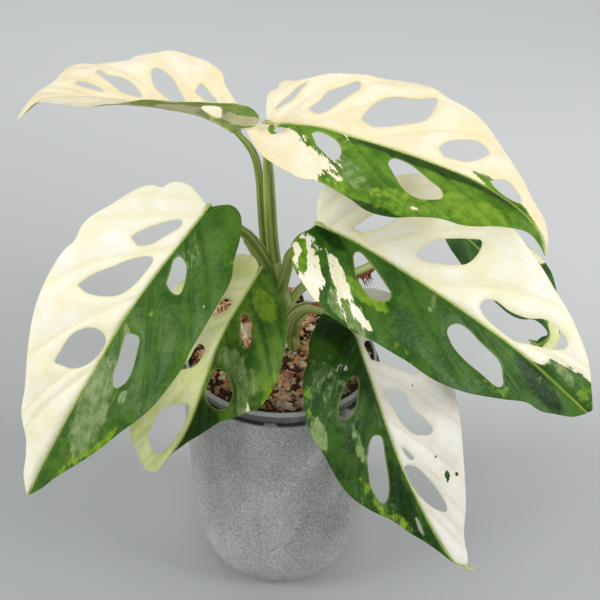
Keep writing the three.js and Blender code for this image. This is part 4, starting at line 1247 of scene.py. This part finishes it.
def flat_leaf(leaf, length):
    """The flat points of a leaf, its triangles, its outline and its holes."""
    right_edge = half_outline(leaf["right"], 1)
    left_edge = half_outline(leaf["left"], -1)
    outline = np.vstack([right_edge, left_edge[::-1][1:-1]])
    holes = [hole_outline(hole, side) for side, half in ((1, "right"), (-1, "left"))
             for hole in leaf["holes"][half]]
    loops = [outline, *holes]
    edge = np.vstack(loops)
    field = field_points(outline, length)
    clear = distance_to(field, edge) > EDGE_CLEARANCE * GRID
    points = np.vstack([edge, field[within(outline, holes, field) & clear]])
    edges = []
    start = 0
    for loop in loops:
        count = len(loop)
        edges += [(start + k, start + (k + 1) % count) for k in range(count)]
        start += count
    result = delaunay_2d_cdt([Vector(point) for point in points], edges, [], 0, 1e-6)
    points = np.array([tuple(point) for point in result[0]])
    triangles = np.array(result[2])
    triangles = triangles[within(outline, holes, points[triangles].mean(axis=1))]
    first, second = (points[triangles[:, k]] - points[triangles[:, 0]] for k in (1, 2))
    flip = np.cross(first, second) > 0
    return points, np.where(flip[:, None], triangles[:, ::-1], triangles), outline, holes


# %% How cream or green each point is
PURE = 1.6
HALF_BLEND = 0.9
NO_LAYER = -1.3


def colour_field(name, u, v):
    """How strongly each point leans to cream, yellow green and pale green."""
    colours = COLOURS[name]
    sign = np.where(v < 0, -1.0, 1.0)
    left, right = (1.0 if colours[side] == "cream" else -1.0 for side in ("left", "right"))
    cream = np.full(len(u), left) * PURE if left == right else right * np.clip(v / HALF_BLEND, -PURE, PURE)
    fields = {"cream": cream, "light": np.full(len(u), NO_LAYER), "pale": np.full(len(u), NO_LAYER)}
    for layer, patch_u, patch_v, half_length, half_width, turn_degrees, push in colours["patches"]:
        lean = math.radians(turn_degrees) * sign
        du, dv = u - patch_u, v - patch_v
        x = (du * np.cos(lean) + dv * np.sin(lean)) / half_length
        y = (dv * np.cos(lean) - du * np.sin(lean)) / half_width
        fade = np.clip(1.5 - np.sqrt(x * x + y * y), 0, 1)
        same_half = np.clip(np.sign(patch_v) * v / HALF_BLEND + 1.0, 0, 1)
        fields[layer] = fields[layer] + push * fade * fade * (3 - 2 * fade) * same_half
    return np.column_stack([fields["cream"], fields["light"], fields["pale"]])


# %% The relief of a leaf, in millimetres
HALF_THICKNESS = 0.3
EDGE_THINNING = 0.6
SWELL, SWELL_WIDTH = 1.1, 5.0
GROOVE, GROOVE_WIDTH = 0.45, 1.0
WAVE, WAVE_RATE, WAVE_REACH = 0.7, 0.11, 14
TROUGH, TROUGH_WIDTH = 0.5, 0.8
RIB_DEPTH = 1.4
RIB_HALF_WIDTH = 1.7
SIDE_RIB_DEPTH = 0.55


def bell(distance, width):
    return np.exp(-((distance / width) ** 2))


def nearest_vein(leaf, sheet, u, v):
    """Each point's vein root, and its distance from the nearest main vein of its own half."""
    root = vein_root(u, v, sheet.length)
    angle = vein_angle(root, sheet.length)
    gaps = []
    for side in ("left", "right"):
        veins = main_veins(leaf, side, sheet.length)
        gaps.append(np.abs(root[:, None] - veins[None, :]).min(axis=1))
    return root, np.where(v < 0, *gaps) * np.sin(angle)


def leaf_relief(u, v, vein_gap, margin, edge, phase, length):
    """The height of the middle of the sheet, half its thickness, and the depth of its ribs."""
    vein_strength = np.clip(np.abs(v) / 3, 0, 1) * np.clip(margin / 6, 0, 1)
    groove = bell(vein_gap, GROOVE_WIDTH) * vein_strength
    swell = (1 - bell(vein_gap, SWELL_WIDTH)) * vein_strength * np.clip(edge / 4, 0, 1)
    wave = np.sin(u * WAVE_RATE + (v < 0) * 2.0 + phase) * np.clip(1 - margin / WAVE_REACH, 0, 1) ** 2
    height = SWELL * swell - GROOVE * groove + WAVE * wave - TROUGH * bell(v, TROUGH_WIDTH)
    half = HALF_THICKNESS * (1 - EDGE_THINNING + EDGE_THINNING * np.clip(edge / 0.8, 0, 1))
    rib = RIB_DEPTH * (1 - 0.8 * np.clip(u / length, 0, 1)) * bell(v, RIB_HALF_WIDTH)
    return height, half, (rib + SIDE_RIB_DEPTH * groove) * np.clip(edge / 1.5, 0.1, 1)


# %% A leaf from its flat triangles
LEAF_CREASE = math.radians(50)


def closed_faces(triangles, count):
    """The upper face, the lower face turned over, and a strip round every open edge."""
    sides = {}
    for a, b, c in triangles:
        for pair in ((a, b), (b, c), (c, a)):
            if not sides.pop((pair[1], pair[0]), None):
                sides[pair] = True
    faces = [tuple(triangle) for triangle in triangles]
    faces += [(c + count, b + count, a + count) for a, b, c in triangles]
    return faces + [(b, a, a + count, b + count) for a, b in sides]


def build_leaf(name, material):
    leaf, sheet = LEAVES[name], sheets[name]
    flat, triangles, outline, holes = flat_leaf(leaf, sheet.length)
    u, v = flat.T
    count = len(flat)
    root, vein_gap = nearest_vein(leaf, sheet, u, v)
    margin, rim = distance_to(flat, outline), distance_to(flat, np.vstack(holes))
    edge = np.minimum(margin, rim)
    height, half, rib = leaf_relief(u, v, vein_gap, margin, edge, len(name), sheet.length)
    points, normals = sheet.at(u, v)
    top = points + normals * (height + half)[:, None]
    bottom = points + normals * (height - half - rib)[:, None]
    piece = add_mesh(name + "_blade", np.vstack([top, bottom]) * MM, closed_faces(triangles, count), material)
    piece.data.set_sharp_from_angle(angle=LEAF_CREASE)

    root, v, vein_gap, margin, rim = np.tile(np.array([root, v, vein_gap, margin, rim]) * MM, 2)
    face_up = np.repeat([1.0, 0.0], count)
    set_attribute(piece, "vein", np.column_stack([root, v, vein_gap]))
    set_attribute(piece, "edge", np.column_stack([margin, rim, face_up]))
    set_attribute(piece, "tint", np.tile(colour_field(name, *flat.T), (2, 1)))
    stand_for(piece, name)


# %% [markdown]
# The finish of a leaf
#
# Four tones lie over each other: dark green, the thin grey green of half-coloured cells, yellow green and
# cream. Green goes deeper where the pale layer is pushed far down, which is partly painted shade. The cells
# of the leaf show as a fine grain, hollows along the veins are painted darker as shade with a painted lit
# line beside them, and the face has the soft shine of a living leaf. The back is paler and duller.

# %% The leaf's material
FACE_ROUGHNESS = 0.36
BACK_ROUGHNESS = 0.62
# The deep green is partly painted shade: it darkens the leaves' shaded lower parts and base lobes.
DEEP_GREEN_AND_SHADE = srgb(8, 42, 0)
VEIN_LIME = srgb(164, 184, 84)


def leaf_finish(name, cream, cream_deep, dark, fresh):
    m = Finish(name)
    root, v, vein_gap = m.parts(m.attribute("vein"))
    _, rim, upper = m.parts(m.attribute("edge"))
    cream_field, light_field, pale_field = m.parts(m.attribute("tint"))
    place = m.place()

    streaks = m.noise(m.vector(root * 380, v * 110, 0.0), 1.0, 4, 0.6)
    shreds = m.noise(m.vector(root * 1000, v * 240, 7.0), 1.0, 3, 0.6)
    blots = m.noise(place, 210, 4, 0.6)
    cells = m.noise(place, 900, 3, 0.6)
    clouds = m.noise(place, 70, 4, 0.6)
    torn = (streaks - 0.5) * 2.6 + (blots - 0.5) * 1.9 + (shreds - 0.5) * 0.8
    reach = v.math("ABSOLUTE")
    torn = torn * (0.25 + reach.step(0.8 * MM, 6 * MM) * 0.75)
    mottled = (blots - 0.5) * 3.0 + (streaks - 0.5) * 1.4 + (shreds - 0.5) * 0.6
    cuts = torn * 1.5 + (shreds - 0.5) * 2.2

    green = m.mix((clouds + (blots - 0.5) * 0.5).step(0.32, 0.7), dark, fresh)
    green = m.mix((streaks - 0.5).step(0.0, 0.3) * 0.2, green, fresh)
    # Painted light and shade along the veins: a lighter line on the swell beside each main vein, and painted
    # shade in the vein's hollow.
    beside_vein = vein_gap.step(1.0 * MM, 1.8 * MM) * vein_gap.step(4.2 * MM, 2.2 * MM)
    green = m.mix(beside_vein * 0.35, green, fresh)
    green = m.mix(vein_gap.step(1.1 * MM, 0.1 * MM) * 0.6, green, dark)
    # Painted shade, partly: where the pale layer is pushed far down, the green goes to the near-black deep
    # green.
    green = m.mix((pale_field + torn * 0.6).step(-1.7, -3.1) * 0.8, green, DEEP_GREEN_AND_SHADE)
    flecks = blots * 0.6 + shreds * 0.4
    pale = m.mix(flecks.step(0.38, 0.62), srgb(88, 116, 52), srgb(136, 156, 102))
    light = m.mix(flecks.step(0.38, 0.62), srgb(86, 126, 20), srgb(126, 158, 44))
    ivory = m.mix(clouds.step(0.3, 0.75), cream, cream_deep)
    ivory = m.mix(vein_gap.step(1.6 * MM, 0.0) * 0.7, ivory, cream_deep)
    ivory = m.mix((streaks + (shreds - 0.5) * 0.4).step(0.5, 0.7) * 0.5, ivory, cream_deep)
    ivory = m.mix(reach.step(4 * MM, 0.0) * 0.5, ivory, cream_deep)
    ivory = m.mix(rim.step(3 * MM, 0.4 * MM) * 0.6, ivory, cream_deep)

    tone = m.mix((pale_field + torn * 1.4).step(-0.5, 0.5), green, pale)
    tone = m.mix((light_field + mottled).step(-0.4, 0.5), tone, light)
    tone = m.mix((cream_field + cuts).step(-0.08, 0.08), tone, ivory)
    rib = reach.step(1.1 * MM, 0.3 * MM) * (1 - cream_field.step(0.9, 1.5))
    tone = m.mix(rib * 0.6, tone, VEIN_LIME)
    tone = m.mix(rim.step(0.9 * MM, 0.2 * MM) * 0.2, tone, srgb(178, 190, 100))
    tone = m.mix((cells - 0.5).step(0.0, 0.3) * 0.05, tone, srgb(235, 240, 215))
    back = m.mix(0.36, tone, srgb(176, 198, 118))
    colour = m.mix(upper, back, tone)

    rough = BACK_ROUGHNESS - upper * (BACK_ROUGHNESS - FACE_ROUGHNESS) + (cells - 0.5) * 0.12
    grain = cells * (0.12 * MM) + m.cells(place, 420) * (0.25 * MM) + streaks * (0.4 * MM)
    return m.finish(Base_Color=colour, Roughness=rough, Normal=m.bump(grain, 1.0, 0.55),
                    Subsurface_Weight=0.12, Subsurface_Scale=1.5 * MM, Specular_IOR_Level=0.14)


# %% The seven leaves: slot, ivory, deeper ivory, dark green and fresh green
IVORY = (247, 241, 228), (236, 229, 190)
YELLOW_IVORY = (246, 236, 212), (238, 223, 178)
WHITE_IVORY = (238, 234, 226), (224, 218, 200)
LIME_IVORY = (243, 240, 204), (218, 224, 146)
LEAF_FINISHES = {
    "leaf_upper_left": ("leaf_cream", *YELLOW_IVORY, (110, 136, 40), (172, 188, 98)),
    "leaf_upper_right": ("leaf_cream", *YELLOW_IVORY, (62, 104, 14), (104, 144, 34)),
    "leaf_left": ("leaf_half_cream", *IVORY, (44, 84, 16), (74, 112, 30)),
    "leaf_lower_left": ("leaf_green", *LIME_IVORY, (48, 84, 18), (98, 132, 42)),
    "leaf_right": ("leaf_half_cream", *IVORY, (38, 80, 16), (68, 108, 28)),
    "leaf_lower_right": ("leaf_half_cream", *WHITE_IVORY, (20, 56, 6), (54, 90, 22)),
    "leaf_back": ("leaf_green", *LIME_IVORY, (30, 66, 14), (56, 100, 26)),
}
for leaf_name, (leaf_slot, *tones) in LEAF_FINISHES.items():
    build_leaf(leaf_name, leaf_finish(leaf_name + "_skin", *(srgb(*tone) for tone in tones)))

# %% [markdown]
# Stem and stalks
#
# Every stalk is a slim green rod that follows a curve, with a shallow channel along it and pale stripes
# where the stem's variegated cells run up into it. The sweep that wound the coir makes them too, with a
# grooved ring of more sides. The lower part of some stalks clasps the stem with a sheath, whose two raised
# edges are thinner rods beside it, and a pale knob joins each stalk to its leaf.

# %% The paths of the stem and the stalks, in millimetres
STEM_PATH = [(6, 3, 92.3), (6, 3, 112), (6, 3, 126), (6, 3, 137), (4, 3, 146), (3, 2, 155), (1, 1, 166),
             (-2, 0, 177), (-4, -1, 187)]
STEM_RADII = [3.2, 3.2, 3.2, 3.1, 3, 2.6]
STALKS = {
    "stalk_upper_right": ("leaf_upper_right", [(-2.5, 0.5, 170), (-3.8, 0.2, 186), (-5.2, 0.3, 198),
                                               (-6.2, 0.6, 215), (-7, 0.9, 231), (-7.6, 1, 243)],
                          [2.6, 2.5, 2.4, 2.3, 2.2, 1.8, 1.3]),
    "stalk_upper_left": ("leaf_upper_left", [(-3, 0.5, 170), (-6, 1.5, 183), (-8.8, 2.5, 196),
                                             (-10.2, 3, 213), (-11.2, 3.5, 228), (-12.8, 3.8, 238),
                                             (-15.9, 4, 245)],
                         [2.3, 2.2, 2.1, 2, 1.9, 1.7, 1.2]),
    "stalk_left": ("leaf_left", [(-1, 0, 167), (-4.5, 0, 177), (-7.8, -1, 185), (-11.5, -3.2, 194),
                                 (-15.3, -6, 202), (-18.8, -9, 208.5)], [3.2, 3.4, 3.5, 3.4, 3, 2.4, 1.7]),
    "stalk_right": ("leaf_right", [(0, 1, 162), (-0.5, -1, 171), (0.5, -3, 178), (2.5, -6.5, 189),
                                   (4.5, -10.5, 199)], [2.6, 2.5, 2.2, 1.9, 1.4]),
    "stalk_lower_right": ("leaf_lower_right", [(4, 3, 141), (5, -1, 149), (6, -5, 157), (9, -8, 163),
                                               (13, -10.5, 166.5)], [3.1, 3.2, 3, 2.5, 1.6]),
    "stalk_lower_left": ("leaf_lower_left", [(2, 2, 156), (-1, -4, 168), (-6, -10, 182)],
                         [2.2, 2, 1.7, 1.3]),
    "stalk_back": ("leaf_back", [(2, 2, 158), (13, 14, 165), (40, 32, 162), (64, 47, 170)],
                   [2.4, 2.3, 2, 1.8, 1.4]),
}

# %% The skin of the stalks


def stalk_finish():
    m = Finish("stalk_skin")
    x, y, _ = m.parts(m.attribute("around"))
    along = m.attribute("along", "Fac")
    stripes = m.noise(m.vector(x * 0.9, y * 0.9, along * 6.0), 1.5, 2, 0.5)
    fine = m.noise(m.vector(x * 9.0, y * 9.0, along * 60.0), 1.2, 3, 0.6)
    grain = m.noise(m.place(), 1200, 2, 0.6)
    ridge = m.attribute("girth", "Fac").step(1.3 * MM, 0.8 * MM)
    tone = m.mix(stripes.step(0.38, 0.5), srgb(94, 120, 40), srgb(146, 166, 76))
    tone = m.mix((stripes + (fine - 0.5) * 0.2).step(0.54, 0.6) * 0.85, tone, srgb(192, 202, 128))
    tone = m.mix(fine.step(0.55, 0.72) * 0.22, tone, srgb(192, 202, 128))
    tone = m.mix(ridge * 0.8, tone, srgb(190, 200, 128))
    relief = fine * 0.7 + grain * 0.3
    return m.finish(Base_Color=tone, Roughness=0.42, Normal=m.bump(relief, 0.25 * MM, 0.6),
                    Subsurface_Weight=0.1, Subsurface_Scale=1.0 * MM)


# %% Stem and stalks
STALK_GROOVE = 0.18
STALK_SIDES = 24
STALK_SEAT = 0.5
SHEATH_SHARE = 0.82
SHEATH_EDGE = 0.95
SHEATHED = {"stalk_lower_right": 1.35, "stalk_left": 0.95, "stalk_right": 0.95, "stalk_upper_right": 0.9}
KNOB_PLACES = [-1.8, -0.4, 1.2, 3.5]
KNOB_LIFTS = [-0.4, 0.3, 0.3, -0.2]
KNOB_RADII = [0.6, 1.0, 0.95, 0.3]
sweep = sweep_tree("stalk_sweep", stalk_finish(), STALK_GROOVE, STALK_SIDES)


def seat(sheet):
    """The middle of the leaf's rib, close to its base, where the stalk ends."""
    _, middle, up, _ = sheet.frame(np.array([STALK_SEAT]))
    return tuple((middle - up * (HALF_THICKNESS + RIB_DEPTH / 2))[0])


def beside(line, side, distance):
    """The same line moved to one side, as seen from the front and above."""
    along = unit(np.gradient(line, axis=0))
    return line + unit(np.cross(along, [0.0, -0.6, 0.8])) * side * distance[:, None]


def build_rod(name, route, radii, sheath=0.0, sheet=None):
    """The rod, the two edges of its sheath, and the pale knob where it meets a leaf."""
    count = 12 * len(route)
    line = smooth_curve(route, count, True)
    size = radii_along(radii, count)
    paths = [(line * MM, size * MM)]
    if sheath:
        length = round(count * SHEATH_SHARE)
        edge = SHEATH_EDGE * np.sin(np.linspace(0.5, math.pi - 0.05, length)) ** 0.5
        for side in (-1, 1):
            wing = beside(line[:length], side, size[:length] * sheath)
            paths.append((wing * MM, edge * MM))
    if sheet:
        _, middle, up, _ = sheet.frame(np.array(KNOB_PLACES))
        knob = middle + up * np.array(KNOB_LIFTS)[:, None]
        paths.append((knob * MM, np.array(KNOB_RADII) * MM))
    piece = sweep.run(name + "_rod", add_paths(name, paths))
    stand_for(piece, name)


build_rod("stem", STEM_PATH, STEM_RADII)
for stalk_name, (leaf_name, route, radii) in STALKS.items():
    sheet = sheets[leaf_name]
    build_rod(stalk_name, [*route, seat(sheet)], radii, SHEATHED.get(stalk_name, 0.0), sheet)

# %% The thin hook at the lower right leaf's tip
TIP_HOOK = [(92.6, -64.8, 53.6), (94.5, -65, 51.6), (97, -65.2, 51.6), (99.4, -65, 54.2)]
TIP_HOOK_RADII = [0.9, 0.8, 0.6, 0.2]
hook_line = smooth_curve(TIP_HOOK, 24, True)
hook_path = (hook_line * MM, radii_along(TIP_HOOK_RADII, len(hook_line)) * MM)
stand_for(sweep.run("tip_hook", add_paths("hook", [hook_path])), "leaf_lower_right")

# %% [markdown]
# The withered sheath
#
# A few dry brown fibres hang where the back leaf's stalk once had its sheath. They are bent threads, so
# the same sweep makes them, with another material and fewer sides.

# %% Dry fibres
FIBRE_CORE = [(36, 29.6, 158.7), (41, 32.6, 158.6), (46, 35.6, 159.6)]
FIBRE_CORE_RADII = [0.7, 1.2, 1.2, 0.6]
FIBRE_COUNT = 26
FIBRE_RADII = [0.32, 0.25, 0.1]


def fibre_finish():
    m = Finish("dry_fibre")
    tone = m.mix(m.noise(m.place(), 500, 3, 0.6).step(0.35, 0.65), srgb(92, 44, 26), srgb(158, 92, 52))
    return m.finish(Base_Color=tone, Roughness=0.9)


def fibre_paths():
    random = np.random.default_rng(19)
    core = smooth_curve(FIBRE_CORE, 40, True)
    paths = [(core * MM, radii_along(FIBRE_CORE_RADII, len(core)) * MM)]
    for _ in range(FIBRE_COUNT):
        root = core[random.integers(2, 38)]
        lean = np.array([random.uniform(-0.5, 0.7), random.uniform(-0.8, 0.3), random.uniform(-1.2, -0.5)])
        tip = root + lean / np.linalg.norm(lean) * random.uniform(3, 7.5)
        knee = (root + tip) / 2 + random.uniform(-0.9, 0.9, 3)
        line = smooth_curve([root, knee, tip], 12, True)
        paths.append((line * MM, radii_along(FIBRE_RADII, len(line)) * MM))
    return paths


fibre_sweep = sweep_tree("fibre_sweep", fibre_finish(), 0.0, 6)
stand_for(fibre_sweep.run("dry_fibres", add_paths("fibres", fibre_paths())), "dry_sheath")

# %% [markdown]
# Floor and light
#
# A pale floor runs on behind the plant as far as the camera sees. Its colour holds painted light: it grows
# lighter towards the back and the right and darker at the front left, as the uneven light and soft shadow
# on a lit paper floor. The light is that of a product photograph: a large soft lamp above and behind, one
# at each side, a weaker one beside the camera, and a pale grey surround.

# %% The floor
FLOOR_REACH = 4.0


def floor_finish():
    m = Finish("floor")
    place = m.place()
    x, y, _ = m.parts(place)
    # Painted light and shade: the floor is lighter towards the back and right and darker at the front left.
    tone = m.mix((y + x * 0.5).step(-0.15, 0.6), srgb(164, 167, 165), srgb(222, 224, 222))
    tone = m.mix(m.noise(place, 3, 3, 0.5).step(0.3, 0.7) * 0.15, tone, srgb(198, 200, 198))
    return m.finish(Base_Color=tone, Roughness=0.7)


corners = [(x * FLOOR_REACH, y * FLOOR_REACH, 0) for x, y in ((-1, -1), (1, -1), (1, 1), (-1, 1))]
add_mesh("floor", corners, [(0, 1, 2, 3)], floor_finish())


# %% Lamps: place, height of the aim on the pots' axis, size in metres and power in watts
LAMPS = {
    "lamp_above": ((-0.1, 0.35, 1.4), 0.1, 1.3, 4),
    "lamp_left": ((-1.3, -0.5, 0.85), 0.15, 0.6, 11.5),
    "lamp_right": ((1.3, -0.5, 0.8), 0.15, 0.5, 11.5),
    "lamp_camera_side": ((0.1, -1.3, 1.1), 0.15, 0.9, 6.2),
}
SURROUND = srgb(235, 238, 242)
SURROUND_STRENGTH = 0.44

for lamp_name, (place, aim_height, width, power) in LAMPS.items():
    lamp = add_object(lamp_name, bpy.data.lights.new(lamp_name, "AREA"))
    lamp.data.size = width
    lamp.data.energy = power
    lamp.location = place
    lamp.rotation_euler = (Vector((0, 0, aim_height)) - Vector(place)).to_track_quat("-Z", "Y").to_euler()

world = bpy.data.worlds.new("surround")
world.use_nodes = True
surround = world.node_tree.nodes["Background"]
surround.inputs["Color"].default_value = (*SURROUND, 1)
surround.inputs["Strength"].default_value = SURROUND_STRENGTH
bpy.context.scene.world = world
print("lamps:", *LAMPS)
